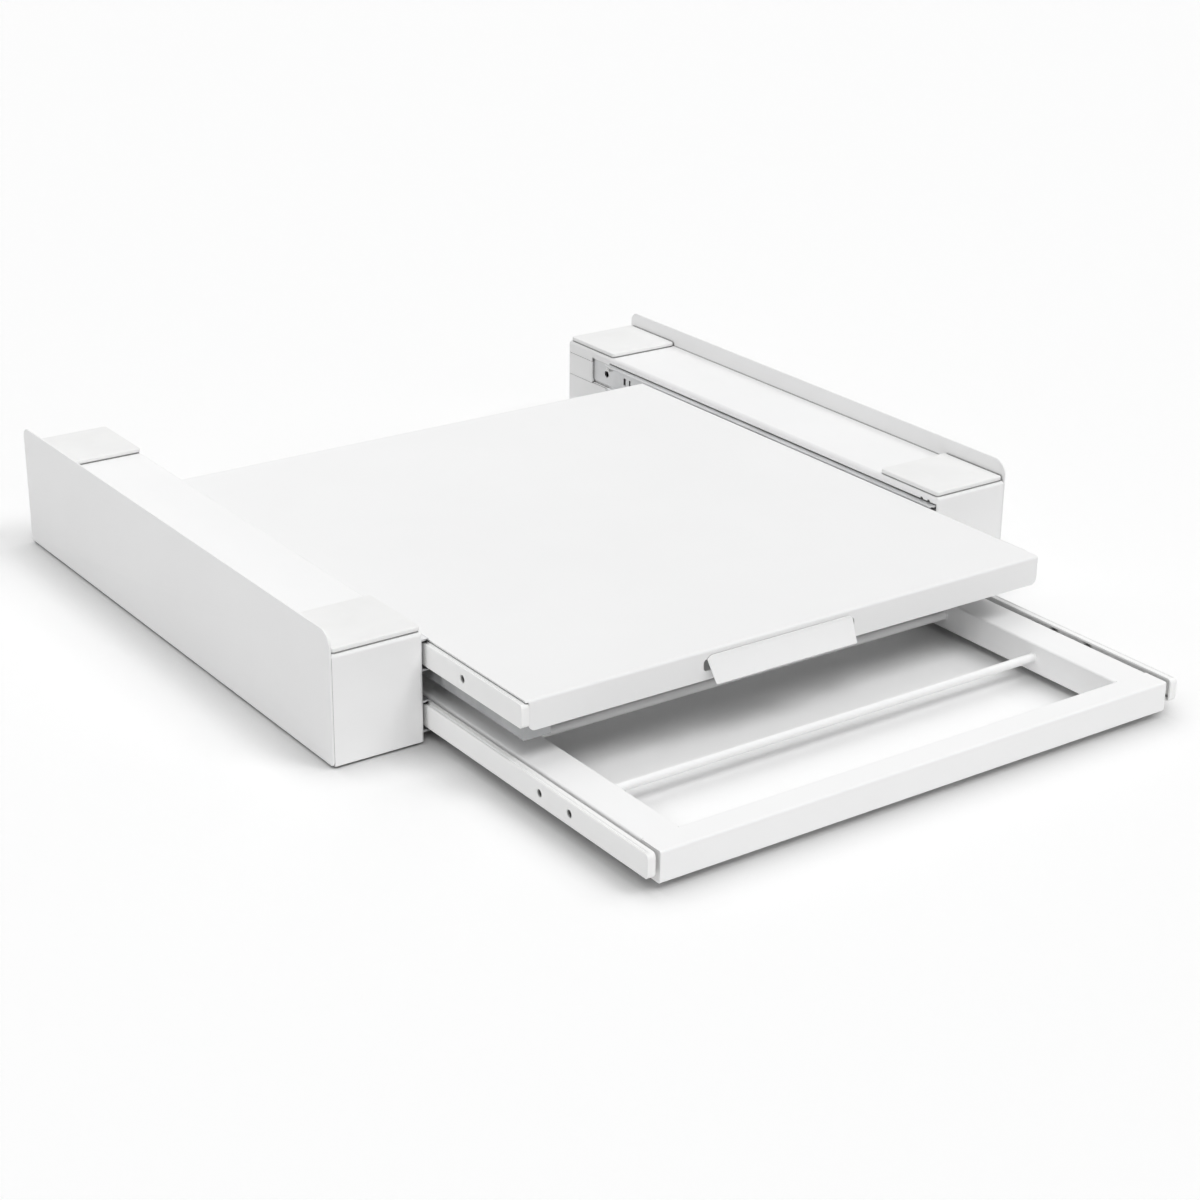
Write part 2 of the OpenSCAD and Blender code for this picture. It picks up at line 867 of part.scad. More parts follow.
// Front lip, welded on under the top's front fold, with the finger slot behind the pull
module shelf_front_lip() {
    slot_bottom = shelf_top_z - pull_drop - pull_root - finger_slot_height;
    slot_half = pull_width / 2 + finger_slot_overlap;
    color(WHITE)
        in_frame()
            difference() {
                block(
                    [-shelf_half, shelf_front, lip_bottom],
                    [shelf_half, shelf_front + shelf_sheet, lip_joint]
                );
                shelf_side_cuts();
                along_y(shelf_front - overrun, shelf_front + shelf_sheet + overrun)
                    translate([pull_shift - slot_half, slot_bottom])
                        rounded_rectangle(
                            [2 * slot_half, finger_slot_height],
                            [for (corner = [0:3]) finger_slot_radius]
                        );
            }
}

// Places the screws of one inner rail
module at_rail_screws(nose, slide_z, shares) {
    for (share = shares)
        translate([0, nose + share * inner_rail_length, slide_z])
            children();
}

// Front end of what the shelf's slide on one side carries
function shelf_side_setback(side) = side == RIGHT ? right_setback : 0;

// Side channel under the shelf, closed at its front
module shelf_channel(side) {
    front = shelf_front + channel_setback + shelf_side_setback(side);
    low = runner_face - channel_width;
    color(ZINC)
        in_frame()
            on_side(side)
                difference() {
                    block([low, front, channel_bottom], [runner_face, channel_rear, shelf_under]);
                    block(
                        [low - overrun, front + channel_sheet, channel_bottom + channel_sheet],
                        [
                            runner_face - channel_sheet,
                            channel_rear + overrun,
                            shelf_under - channel_sheet
                        ]
                    );
                    at_rail_screws(shelf_nose, shelf_slide_z, shelf_screw_shares)
                        x_cylinder(
                            runner_face - channel_sheet - overrun,
                            runner_face + overrun,
                            rail_screw_diameter / 2 + screw_clearance
                        );
                }
}

// Hat-shaped stiffener across the underside of the shelf
module shelf_stiffener(middle) {
    half = runner_face - channel_width - seam_gap;
    half_crown = stiffener_crown / 2;
    half_width = half_crown + stiffener_flange;
    bottom = shelf_under - stiffener_height;
    color(SHADED)
        in_frame()
            along_x(-half, half)
                difference() {
                    translate([middle - half_width, bottom])
                        square([2 * half_width, stiffener_height]);
                    translate([middle - half_crown + channel_sheet, bottom + channel_sheet])
                        square([stiffener_crown - 2 * channel_sheet, stiffener_height]);
                    for (way = SIDES)
                        translate([
                            middle + way * (half_crown + stiffener_flange / 2) - stiffener_flange / 2,
                            bottom - channel_sheet
                        ])
                            square([stiffener_flange, stiffener_height]);
                }
}

// Pull on the lip: a flat upper edge and a face that leans out towards its lower edge
module shelf_pull() {
    top = shelf_top_z - pull_drop;
    knee = top - pull_root;
    foot = knee - pull_fall;
    half = pull_width / 2;
    front = shelf_front - pull_sheet;
    color(WHITE)
        in_frame()
            intersection() {
                along_x(pull_shift - half, pull_shift + half)
                    polygon([
                        [shelf_front, top],
                        [shelf_front, knee],
                        [shelf_front - pull_reach, foot],
                        [front - pull_reach, foot],
                        [front, knee],
                        [front, top]
                    ]);
                along_y(front - pull_reach - overrun, shelf_front + overrun)
                    polygon([
                        [pull_shift - half, knee],
                        [pull_shift - half + pull_root, top],
                        [pull_shift + half - pull_root, top],
                        [pull_shift + half, knee],
                        [pull_shift + half - pull_taper, foot],
                        [pull_shift - half + pull_taper, foot]
                    ]);
            }
}

// Cup that a screw head sits in, from the rail's face to the piece that it is fixed to
module screw_cup() {
    x_cylinder(runner_face, runner_face + inner_rail_depth, cup_radius + cup_wall);
}

// Bore of such a cup, with a bevel at its mouth and a hole for the screw in its floor
module screw_cup_bore() {
    mouth = runner_face + inner_rail_depth;
    x_cylinder(runner_face - overrun, mouth, rail_screw_diameter / 2 + screw_clearance);
    x_cylinder(runner_face + cup_floor, mouth + overrun, cup_radius);
    translate([mouth - cup_bevel, 0, 0])
        rotate([0, 90, 0])
            cylinder(h = cup_bevel + overrun, r1 = cup_radius, r2 = cup_radius + cup_bevel + overrun);
}

// Inner rail of a slide, from its nose back
module inner_rail(nose, cut_back, slide_z, shares) {
    front = nose + cut_back;
    rear = nose + inner_rail_length;
    low = slide_z - half_inner_rail;
    difference() {
        union() {
            intersection() {
                along_y(front, rear)
                    difference() {
                        translate([runner_face, low])
                            rounded_rectangle(
                                [inner_rail_depth, inner_rail_height],
                                [0, inner_rail_radius, inner_rail_radius, 0]
                            );
                        for (way = SIDES)
                            translate([runner_face + ball_offset, slide_z + way * ball_height])
                                circle(groove_radius);
                    }
                along_x(runner_face, runner_face + inner_rail_depth)
                    translate([front, low])
                        rounded_rectangle(
                            [rear - front, inner_rail_height],
                            [inner_rail_nose_radius, 0, 0, inner_rail_nose_radius]
                        );
            }
        }
        difference() {
            block(
                [runner_face - overrun, front + rail_sheet, low + rail_sheet],
                [
                    runner_face + inner_rail_depth - rail_sheet,
                    rear + overrun,
                    slide_z + half_inner_rail - rail_sheet
                ]
            );
            at_rail_screws(nose, slide_z, shares)
                screw_cup();
        }
        at_rail_screws(nose, slide_z, shares)
            screw_cup_bore();
    }
}

// Inner rail on one side of the shelf
module shelf_inner_rail(side) {
    color(WHITE)
        in_frame()
            on_side(side)
                inner_rail(
                    shelf_nose,
                    shelf_side_setback(side),
                    shelf_slide_z,
                    shelf_screw_shares
                );
}

// Inner rail on one side of the rack
module rack_inner_rail(side) {
    color(WHITE)
        in_frame()
            on_side(side)
                inner_rail(rack_nose, 0, rack_slide_z, rack_screw_shares);
}

// Screws of both inner rails of the shelf or of the rack
module rail_screws(nose, slide_z, shares, last_face) {
    seat = runner_face + cup_floor;
    color(DARK)
        in_frame()
            for (side = SIDES)
                on_side(side)
                    at_rail_screws(nose, slide_z, shares)
                        screw(
                            seat + rail_screw_head_height,
                            seat,
                            last_face - screw_reach,
                            rail_screw_head,
                            rail_screw_diameter
                        );
}

// Front end of a ball cage when the slide is drawn out by the given amount
function cage_front(drawn_out) = cage_start + (slide_travel - drawn_out) / 2;

// Ball cage: a web between the rails with an arm along each row of balls
module ball_cage(side, slide_z, drawn_out) {
    front = cage_front(drawn_out);
    half_arm = cage_sheet / 2;
    arm_tip = runner_face + ball_offset - ball_radius - cage_sheet;
    web = runner_face + cage_web;
    color(ZINC)
        in_frame()
            on_side(side)
                difference() {
                    union() {
                        block(
                            [web, front, slide_z - ball_height - half_arm],
                            [web + cage_sheet, front + cage_length, slide_z + ball_height + half_arm]
                        );
                        for (way = SIDES)
                            block(
                                [arm_tip, front, slide_z + way * ball_height - half_arm],
                                [
                                    web + cage_sheet,
                                    front + cage_length,
                                    slide_z + way * ball_height + half_arm
                                ]
                            );
                    }
                    at_balls(slide_z, front)
                        sphere(ball_radius + ball_clearance / 2);
                }
}

// Places of one slide's balls
module at_balls(slide_z, front) {
    for (row = SIDES, ball = [0 : balls_per_row - 1])
        translate([
            runner_face + ball_offset,
            front + (ball + 1 / 2) * ball_pitch,
            slide_z + row * ball_height
        ])
            children();
}

// Balls of both slides of the shelf or of the rack
module balls(slide_z, drawn_out) {
    color(ZINC)
        in_frame()
            for (side = SIDES)
                on_side(side)
                    at_balls(slide_z, cage_front(drawn_out))
                        sphere(ball_radius);
}

// Profile of a rectangular tube
module tube_profile(width) {
    bore_radius = max(tube_radius - tube_wall, 0);
    difference() {
        rounded_rectangle([width, tube_height], [for (corner = [0:3]) tube_radius]);
        translate([tube_wall, tube_wall])
            rounded_rectangle(
                [width - 2 * tube_wall, tube_height - 2 * tube_wall],
                [for (corner = [0:3]) bore_radius]
            );
    }
}

// Front or rear tube of the rack
module rack_end_tube(front) {
    color(WHITE)
        in_frame()
            along_x(-tube_half, tube_half)
                translate([front, rack_clearance])
                    tube_profile(end_tube_width);
}

// Places of the cross rods
module at_rods() {
    for (rod = [0 : rod_count - 1])
        translate([
            0,
            rack_front + end_tube_width + rod_start + rod * rod_pitch,
            rack_clearance + rod_height
        ])
            children();
}

// Side tube of the rack, drilled for the rods and for the slide's screws
module rack_side_tube(side) {
    color(WHITE)
        in_frame()
            on_side(side)
                difference() {
                    along_y(rack_front + end_tube_width, rack_rear - end_tube_width)
                        translate([window_half, rack_clearance])
                            tube_profile(side_tube_width);
                    at_rods()
                        x_cylinder(
                            window_half - overrun,
                            window_half + tube_wall + overrun,
                            rod_diameter / 2 + screw_clearance
                        );
                    at_rail_screws(rack_nose, rack_slide_z, rack_screw_shares)
                        x_cylinder(
                            tube_half - tube_wall - overrun,
                            tube_half + overrun,
                            rail_screw_diameter / 2 + screw_clearance
                        );
                }
}

// Cross rods of the rack
module rack_rods() {
    reach = window_half + rod_insertion;
    color(WHITE)
        in_frame()
            at_rods()
                x_cylinder(-reach, reach, rod_diameter / 2);
}

// Plugs in the ends of the front and rear tubes
module rack_end_plugs() {
    inside = tube_wall + screw_clearance;
    color(WHITE)
        in_frame()
            for (side = SIDES, front = [rack_front, rack_rear - end_tube_width])
                on_side(side)
                    block(
                        [tube_half - plug_depth, front + inside, rack_clearance + inside],
                        [tube_half, front + end_tube_width - inside, rack_top - inside]
                    );
}

// Spacers between the rack's side tubes and its inner rails
module rack_rail_spacers() {
    color(ZINC)
        in_frame()
            for (side = SIDES)
                on_side(side)
                    at_rail_screws(rack_nose, rack_slide_z, rack_screw_shares)
                        difference() {
                            x_cylinder(tube_half, runner_face, cup_radius + cup_wall);
                            x_cylinder(
                                tube_half - overrun,
                                runner_face + overrun,
                                rail_screw_diameter / 2 + screw_clearance
                            );
                        }
}

stiffener_places = [shelf_front + shelf_depth / 4, shelf_rear - shelf_depth / 4];
rear_pad_front = housing_depth - pad_end_inset - pad_length;

side_plate(LEFT);  // left_side_plate
side_plate(RIGHT);  // right_side_plate
cover(LEFT);  // left_cover
cover(RIGHT);  // right_cover
inner_wall(LEFT);  // left_inner_wall
inner_wall(RIGHT);  // right_inner_wall
shelf_slide_carrier(LEFT);  // left_shelf_slide_carrier
shelf_slide_carrier(RIGHT);  // right_shelf_slide_carrier
rack_slide_carrier(LEFT);  // left_rack_slide_carrier
rack_slide_carrier(RIGHT);  // right_rack_slide_carrier
cross_rail(cross_rail_places[0]);  // front_cross_rail
cross_rail(cross_rail_places[1]);  // rear_cross_rail
cross_rail_screws();
pad(LEFT, pad_end_inset);  // front_left_pad
pad(RIGHT, pad_end_inset);  // front_right_pad
pad(LEFT, rear_pad_front);  // rear_left_pad
pad(RIGHT, rear_pad_front);  // rear_right_pad
underside_strips(LEFT);  // left_underside_strips
underside_strips(RIGHT);  // right_underside_strips
side_outer_rail(LEFT, shelf_slide_z);  // left_shelf_outer_rail
side_outer_rail(RIGHT, shelf_slide_z);  // right_shelf_outer_rail
side_outer_rail(LEFT, rack_slide_z);  // left_rack_outer_rail
side_outer_rail(RIGHT, rack_slide_z);  // right_rack_outer_rail
outer_rail_screws();
closing_bumpers();
shelf_top();
shelf_front_lip();
shelf_channel(LEFT);  // left_shelf_channel
shelf_channel(RIGHT);  // right_shelf_channel
shelf_stiffener(stiffener_places[0]);  // front_shelf_stiffener
shelf_stiffener(stiffener_places[1]);  // rear_shelf_stiffener
shelf_pull();
shelf_inner_rail(LEFT);  // left_shelf_inner_rail
shelf_inner_rail(RIGHT);  // right_shelf_inner_rail
rail_screws(shelf_nose, shelf_slide_z, shelf_screw_shares, runner_face - channel_sheet);  // shelf_rail_screws
ball_cage(LEFT, shelf_slide_z, shelf_out);  // left_shelf_ball_cage
ball_cage(RIGHT, shelf_slide_z, shelf_out);  // right_shelf_ball_cage
balls(shelf_slide_z, shelf_out);  // shelf_balls
rack_end_tube(rack_front);  // rack_front_tube
rack_end_tube(rack_rear - end_tube_width);  // rack_rear_tube
rack_side_tube(LEFT);  // rack_left_tube
rack_side_tube(RIGHT);  // rack_right_tube
rack_rods();
rack_end_plugs();
rack_inner_rail(LEFT);  // left_rack_inner_rail
rack_inner_rail(RIGHT);  // right_rack_inner_rail
rack_rail_spacers();
rail_screws(rack_nose, rack_slide_z, rack_screw_shares, tube_half - tube_wall);  // rack_rail_screws
ball_cage(LEFT, rack_slide_z, rack_out);  // left_rack_ball_cage
ball_cage(RIGHT, rack_slide_z, rack_out);  // right_rack_ball_cage
balls(rack_slide_z, rack_out);  // rack_balls
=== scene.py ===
"""Dresses the stacking kit for a plain studio picture.

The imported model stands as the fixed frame.
"""

import json
import logging
import math
from dataclasses import dataclass, field
from enum import Enum
from typing import Callable, Iterable, Sequence

import bpy
from mathutils import Matrix, Vector

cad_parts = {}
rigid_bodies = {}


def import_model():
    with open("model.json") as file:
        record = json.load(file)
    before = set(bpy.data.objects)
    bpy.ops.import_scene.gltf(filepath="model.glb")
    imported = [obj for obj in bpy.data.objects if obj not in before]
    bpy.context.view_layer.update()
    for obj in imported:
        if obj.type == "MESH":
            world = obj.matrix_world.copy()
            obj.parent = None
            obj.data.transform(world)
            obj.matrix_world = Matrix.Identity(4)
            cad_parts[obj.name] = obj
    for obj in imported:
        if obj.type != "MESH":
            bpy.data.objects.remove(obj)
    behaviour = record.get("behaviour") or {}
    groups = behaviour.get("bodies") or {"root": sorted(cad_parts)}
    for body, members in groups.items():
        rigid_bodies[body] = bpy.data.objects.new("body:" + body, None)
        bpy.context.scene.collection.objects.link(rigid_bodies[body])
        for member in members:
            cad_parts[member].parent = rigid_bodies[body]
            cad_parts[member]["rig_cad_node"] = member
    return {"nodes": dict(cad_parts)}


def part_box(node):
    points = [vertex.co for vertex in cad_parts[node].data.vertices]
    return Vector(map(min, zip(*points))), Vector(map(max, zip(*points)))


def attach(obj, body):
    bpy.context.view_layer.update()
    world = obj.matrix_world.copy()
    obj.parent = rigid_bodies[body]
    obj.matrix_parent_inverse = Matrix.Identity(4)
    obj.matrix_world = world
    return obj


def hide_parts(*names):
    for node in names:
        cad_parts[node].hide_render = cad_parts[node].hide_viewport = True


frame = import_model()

LOG = logging.getLogger("stacking_kit")
MM = 0.001
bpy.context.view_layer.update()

# Reaches within which places and points count as the same, and the least rise of an upright edge
SAME_PLACE = 0.04 * MM
SAME_POINT = 0.002 * MM
UPRIGHT_FROM = 0.4 * MM

# Least share of a face's normal along the axis that the face looks along
FACING = 0.9

# Detail of the noises, stretch of the brushing along the depth, and how strongly the crystals show
PATCH_DETAIL = 3.0
BRUSH_DETAIL = 3.0
PEEL_DETAIL = 1.5
BRUSH_STRETCH = (1.0, 0.03, 1.0)
CRYSTAL_LOW, CRYSTAL_HIGH, CRYSTAL_END = 0.8, 1.2, 0.8

# Openness at which a gap's painted shade is full and at which it starts, and rays tried per point to find it
SHADE_FROM, SHADE_TO = 0.45, 0.85
GAP_SHADE_RAYS = 8
EDGE_RAYS = 6

Point = tuple[float, float, float]
Colour = tuple[float, float, float]
Socket = bpy.types.NodeSocket
Piece = bpy.types.Object


class Side(Enum):
    LEFT = "left"
    RIGHT = "right"

    @property
    def word(self) -> str:
        """The side's word in the names of nodes and pieces."""
        return self.value


class Body(Enum):
    """The bodies that new pieces ride on."""

    BASE = "base"
    SHELF = "shelf"
    RACK = "rack"


class Pattern(Enum):
    """Kinds of fine surface relief."""

    ORANGE_PEEL = "orange_peel"
    BRUSHED = "brushed"
    CRYSTAL = "crystal"
    CLOSED_CELL = "closed_cell"


# Node graphs


class Graph:
    """A material's node tree with short calls for the nodes that the finishes use."""

    def __init__(self, name: str) -> None:
        """Starts an empty material.

        Args:
            name: the material's name.
        """
        self.material = bpy.data.materials.new(name)
        self.material.use_nodes = True
        self.tree = self.material.node_tree
        self.tree.nodes.clear()
        self.output = self.tree.nodes.new("ShaderNodeOutputMaterial")
        self.coordinates = self.tree.nodes.new("ShaderNodeTexCoord")

    def node(self, kind: str, **values: object) -> bpy.types.Node:
        """Adds a node.

        Args:
            kind: the node's type name.
            values: its properties.

        Returns:
            The new node.
        """
        made = self.tree.nodes.new(kind)
        for key, value in values.items():
            setattr(made, key, value)
        return made

    def link(self, start: Socket, end: Socket) -> None:
        """Joins two sockets."""
        self.tree.links.new(start, end)

    def placed(self, stretch: Point = (1.0, 1.0, 1.0)) -> Socket:
        """Object coordinates, stretched along the axes.

        Args:
            stretch: factor along each axis.

        Returns:
            The socket that holds the coordinates.
        """
        mapping = self.node("ShaderNodeMapping")
        mapping.inputs["Scale"].default_value = stretch
        self.link(self.coordinates.outputs["Object"], mapping.inputs["Vector"])
        return mapping.outputs["Vector"]

    def noise(self, scale: float, detail: float, stretch: Point = (1.0, 1.0, 1.0)) -> Socket:
        """Smooth noise over the object.

        Args:
            scale: grains per metre.
            detail: octaves.
            stretch: factor along each axis.

        Returns:
            The noise's value.
        """
        texture = self.node("ShaderNodeTexNoise")
        texture.inputs["Scale"].default_value = scale
        texture.inputs["Detail"].default_value = detail
        self.link(self.placed(stretch), texture.inputs["Vector"])
        return texture.outputs["Fac"]

    def cells(self, scale: float) -> Socket:
        """Distance to the middle of small cells.

        Args:
            scale: cells per metre.

        Returns:
            The distance's value.
        """
        texture = self.node("ShaderNodeTexVoronoi")
        texture.inputs["Scale"].default_value = scale
        self.link(self.placed(), texture.inputs["Vector"])
        return texture.outputs["Distance"]

    def spread(self, value: Socket, low: float, high: float, start: float = 0.3, end: float = 0.7) -> Socket:
        """Maps a value between two limits.

        Args:
            value: what is mapped.
            low: the result at start.
            high: the result at end.
            start: the value that gives low.
            end: the value that gives high.

        Returns:
            The mapped value.
        """
        mapped = self.node("ShaderNodeMapRange")
        for key, number in (("From Min", start), ("From Max", end), ("To Min", low), ("To Max", high)):
            mapped.inputs[key].default_value = number
        self.link(value, mapped.inputs["Value"])
        return mapped.outputs["Result"]

    def tint(self, value: Socket, low: Colour, high: Colour) -> Socket:
        """Colour that goes from one tone to another.

        Args:
            value: where between them, from 0 to 1.
            low: the tone at 0.
            high: the tone at 1.

        Returns:
            The colour.
        """
        ramp = self.node("ShaderNodeValToRGB")
        ramp.color_ramp.elements[0].color = (*low, 1.0)
        ramp.color_ramp.elements[1].color = (*high, 1.0)
        self.link(value, ramp.inputs["Fac"])
        return ramp.outputs["Color"]

    def openness(self, reach: float, samples: int = GAP_SHADE_RAYS) -> Socket:
        """How open a place is, from 0 in a narrow gap to 1 on a free face.

        Args:
            reach: how far a facing wall may stand to count, in metres.
            samples: how many directions are tried.

        Returns:
            The openness.
        """
        hollow = self.node("ShaderNodeAmbientOcclusion", samples=samples)
        hollow.inputs["Distance"].default_value = reach
        return hollow.outputs["AO"]

    def dimmed(self, colour: Socket, reach: float, dark: float) -> Socket:
        """Colour with painted shade in narrow cups and gaps, darkened where light would hardly reach.

        Args:
            colour: the open faces' colour.
            reach: how far a facing wall may stand to count, in metres.
            dark: the tone of the painted shade in a narrow gap.

        Returns:
            The dimmed colour.
        """
        # Painted shade: the colour mixes towards the dark tone where the place is closed in.
        mixed = self.node("ShaderNodeMixRGB")
        mixed.inputs["Color2"].default_value = (dark, dark, dark, 1.0)
        self.link(self.spread(self.openness(reach), 1.0, 0.0, SHADE_FROM, SHADE_TO), mixed.inputs["Fac"])
        self.link(colour, mixed.inputs["Color1"])
        return mixed.outputs["Color"]

    def relief(self, height: Socket, strength: float, distance: float, edge: float) -> Socket:
        """Normal with a fine relief over softly rounded edges.

        Args:
            height: the relief's height.
            strength: its share.
            distance: its depth in metres.
            edge: the radius that edges look rounded by, in metres.

        Returns:
            The normal.
        """
        bump = self.node("ShaderNodeBump")
        bump.inputs["Strength"].default_value = strength
        bump.inputs["Distance"].default_value = distance
        self.link(height, bump.inputs["Height"])
        if edge > 0:
            rounding = self.node("ShaderNodeBevel", samples=EDGE_RAYS)
            rounding.inputs["Radius"].default_value = edge
            self.link(rounding.outputs["Normal"], bump.inputs["Normal"])
        return bump.outputs["Normal"]

    def surface(self, **numbers: object) -> bpy.types.Node:
        """Principled shader on the output.

        Args:
            numbers: socket names, with underscores for spaces, and their values.

        Returns:
            The shader node.
        """
        shader = self.node("ShaderNodeBsdfPrincipled")
        for key, value in numbers.items():
            shader.inputs[key.replace("_", " ")].default_value = value
        self.link(shader.outputs["BSDF"], self.output.inputs["Surface"])
        return shader


# Finishes


@dataclass(frozen=True)
class Finish:
    """A surface finish: tones, gloss, fine relief and, where asked, painted shade in narrow gaps.

    Attributes:
        name: the material's name.
        slot: the name of its slot; not used.
        tone: colour of the lighter patches.
        shade: colour of the darker patches.
        roughness: roughness at the low and at the high places of the relief.
        pattern: kind of relief.
        grains: grains of the relief per metre.
        relief: strength of the relief.
        depth: depth of the relief, in metres.
        metallic: share of bare metal.
        edge: radius that edges look rounded by, in metres.
        patches: patches per metre.
        shine: share of mirror-like reflection.
        gap_shade_reach: how near a facing wall must stand for painted shade to darken the colour, in metres.
        gap_shade_tone: the tone of that painted shade.
    """

    name: str
    slot: str
    tone: Colour
    shade: Colour
    roughness: tuple[float, float]
    pattern: Pattern
    grains: float
    relief: float
    depth: float
    metallic: float = 0.0
    edge: float = 0.4 * MM
    patches: float = 9.0
    shine: float = 0.5
    gap_shade_reach: float = 0.0
    gap_shade_tone: float = 0.035

    def height(self, graph: Graph) -> Socket:
        """Relief of this finish.

        Args:
            graph: the material's graph.

        Returns:
            The relief's height.
        """
        if self.pattern is Pattern.BRUSHED:
            return graph.noise(self.grains, BRUSH_DETAIL, BRUSH_STRETCH)
        if self.pattern in (Pattern.CRYSTAL, Pattern.CLOSED_CELL):
            return graph.cells(self.grains)
        return graph.noise(self.grains, PEEL_DETAIL)

    def build(self) -> bpy.types.Material:
        """Makes the material.

        Returns:
            The finished material.
        """
        graph = Graph(self.name)
        shader = graph.surface(Metallic=self.metallic, Specular_IOR_Level=self.shine)
        broad = graph.noise(self.patches, PATCH_DETAIL)
        height = self.height(graph)
        if self.pattern is Pattern.CRYSTAL:
            mixed = graph.node("ShaderNodeMath", operation="MULTIPLY")
            graph.link(broad, mixed.inputs[0])
            crystals = graph.spread(height, CRYSTAL_LOW, CRYSTAL_HIGH, 0.0, CRYSTAL_END)
            graph.link(crystals, mixed.inputs[1])
            broad = mixed.outputs["Value"]
        colour = graph.tint(graph.spread(broad, 0.0, 1.0), self.shade, self.tone)
        # Painted shade: narrow gaps and cups are darkened in the colour itself.
        if self.gap_shade_reach > 0:
            colour = graph.dimmed(colour, self.gap_shade_reach, self.gap_shade_tone)
        graph.link(colour, shader.inputs["Base Color"])
        graph.link(graph.spread(height, *self.roughness), shader.inputs["Roughness"])
        graph.link(graph.relief(height, self.relief, self.depth, self.edge), shader.inputs["Normal"])
        return graph.material


# The white coat's cavity values paint shade into seams, inner corners between sheets and along the foot
# edges.
POWDER_COAT = Finish(
    "white_powder_coat", "white_coat", (0.925, 0.925, 0.925), (0.905, 0.905, 0.905),
    (0.38, 0.46), Pattern.ORANGE_PEEL, 620.0, 0.10, 0.05 * MM, edge=0.6 * MM, shine=0.15,
    gap_shade_reach=2.0 * MM, gap_shade_tone=0.22,
)
# Copy of the white coat, made a little darker as painted shade on the shelf's top and lip.
SHADED_SHELF_COAT = Finish(
    "white_coat_shelf_painted_shade", "white_coat", (0.895, 0.895, 0.895), (0.88, 0.88, 0.88),
    (0.38, 0.46), Pattern.ORANGE_PEEL, 620.0, 0.10, 0.05 * MM, edge=0.0, shine=0.15,
)
# Copy of the white coat, made a little lighter as painted light on the rack's tubes and their flush welds.
LIT_TUBE_COAT = Finish(
    "white_coat_tube_painted_light", "white_coat", (0.945, 0.945, 0.945), (0.93, 0.93, 0.93),
    (0.38, 0.46), Pattern.ORANGE_PEEL, 620.0, 0.10, 0.05 * MM, edge=0.0, shine=0.15,
)
# Its cavity value paints near-black shade into the screw cups and the narrow gaps of the rails.
RAIL_COAT = Finish(
    "white_rail_coat", "white_rail", (0.95, 0.95, 0.945), (0.935, 0.935, 0.93),
    (0.30, 0.38), Pattern.ORANGE_PEEL, 520.0, 0.06, 0.04 * MM, edge=0.5 * MM, shine=0.2, gap_shade_reach=4.0 * MM,
)
ZINC_PLATE = Finish(
    "zinc_plate", "zinc", (0.66, 0.665, 0.67), (0.55, 0.555, 0.56),
    (0.30, 0.44), Pattern.BRUSHED, 900.0, 0.12, 0.04 * MM, metallic=0.85, edge=0.3 * MM, patches=30.0,
)
# Galvanised grey, made darker than bare zinc partly as painted shade on the channels under the shelf's lip.
GALVANISED_AND_SHADE = Finish(
    "galvanised_sheet_and_painted_shade", "zinc", (0.46, 0.465, 0.47), (0.34, 0.345, 0.35),
    (0.34, 0.50), Pattern.CRYSTAL, 160.0, 0.05, 0.05 * MM, metallic=0.8, edge=0.3 * MM, patches=40.0,
)
# Blackened screws, their near-black tone partly painted shade deep in the rails' screw cups.
BLACK_STEEL_AND_CUP_SHADE = Finish(
    "blackened_steel_and_cup_shade", "black_steel", (0.022, 0.022, 0.024), (0.012, 0.012, 0.013),
    (0.62, 0.78), Pattern.BRUSHED, 1400.0, 0.10, 0.03 * MM, edge=0.2 * MM, patches=80.0,
)
BALL_STEEL = Finish(
    "polished_ball", "ball_steel", (0.78, 0.78, 0.79), (0.70, 0.70, 0.71),
    (0.08, 0.14), Pattern.ORANGE_PEEL, 900.0, 0.01, 0.01 * MM, metallic=1.0, edge=0.0, patches=60.0,
)
# Its cavity values paint a soft shade along the pads' edges and foot.
PAD_FOAM = Finish(
    "soft_pad_foam", "soft_pad", (0.905, 0.905, 0.90), (0.88, 0.88, 0.875),
    (0.74, 0.90), Pattern.CLOSED_CELL, 1500.0, 0.22, 0.08 * MM, edge=0.5 * MM, patches=40.0, shine=0.15,
    gap_shade_reach=1.5 * MM, gap_shade_tone=0.55,
)
# Grey backing, its dark tone partly painted shade for the line under each pad's edge.
PAD_BACKING_AND_SHADE = Finish(
    "pad_backing", "soft_pad", (0.52, 0.52, 0.52), (0.42, 0.42, 0.42),
    (0.60, 0.75), Pattern.ORANGE_PEEL, 700.0, 0.10, 0.05 * MM, edge=0.2 * MM,
)
DARK_RUBBER = Finish(
    "dark_rubber", "black_rubber", (0.055, 0.055, 0.055), (0.035, 0.035, 0.035),
    (0.62, 0.80), Pattern.CLOSED_CELL, 1100.0, 0.25, 0.08 * MM, edge=0.3 * MM, patches=50.0,
)
PLUG_PLASTIC = Finish(
    "plug_plastic", "white_plastic", (0.88, 0.88, 0.87), (0.84, 0.84, 0.83),
    (0.42, 0.55), Pattern.CLOSED_CELL, 1300.0, 0.12, 0.05 * MM, edge=0.3 * MM,
)
WELD_COAT = Finish(
    "coated_weld", "white_coat", (0.915, 0.915, 0.915), (0.88, 0.88, 0.88),
    (0.40, 0.52), Pattern.CLOSED_CELL, 700.0, 0.30, 0.10 * MM, edge=0.0, patches=60.0,
)


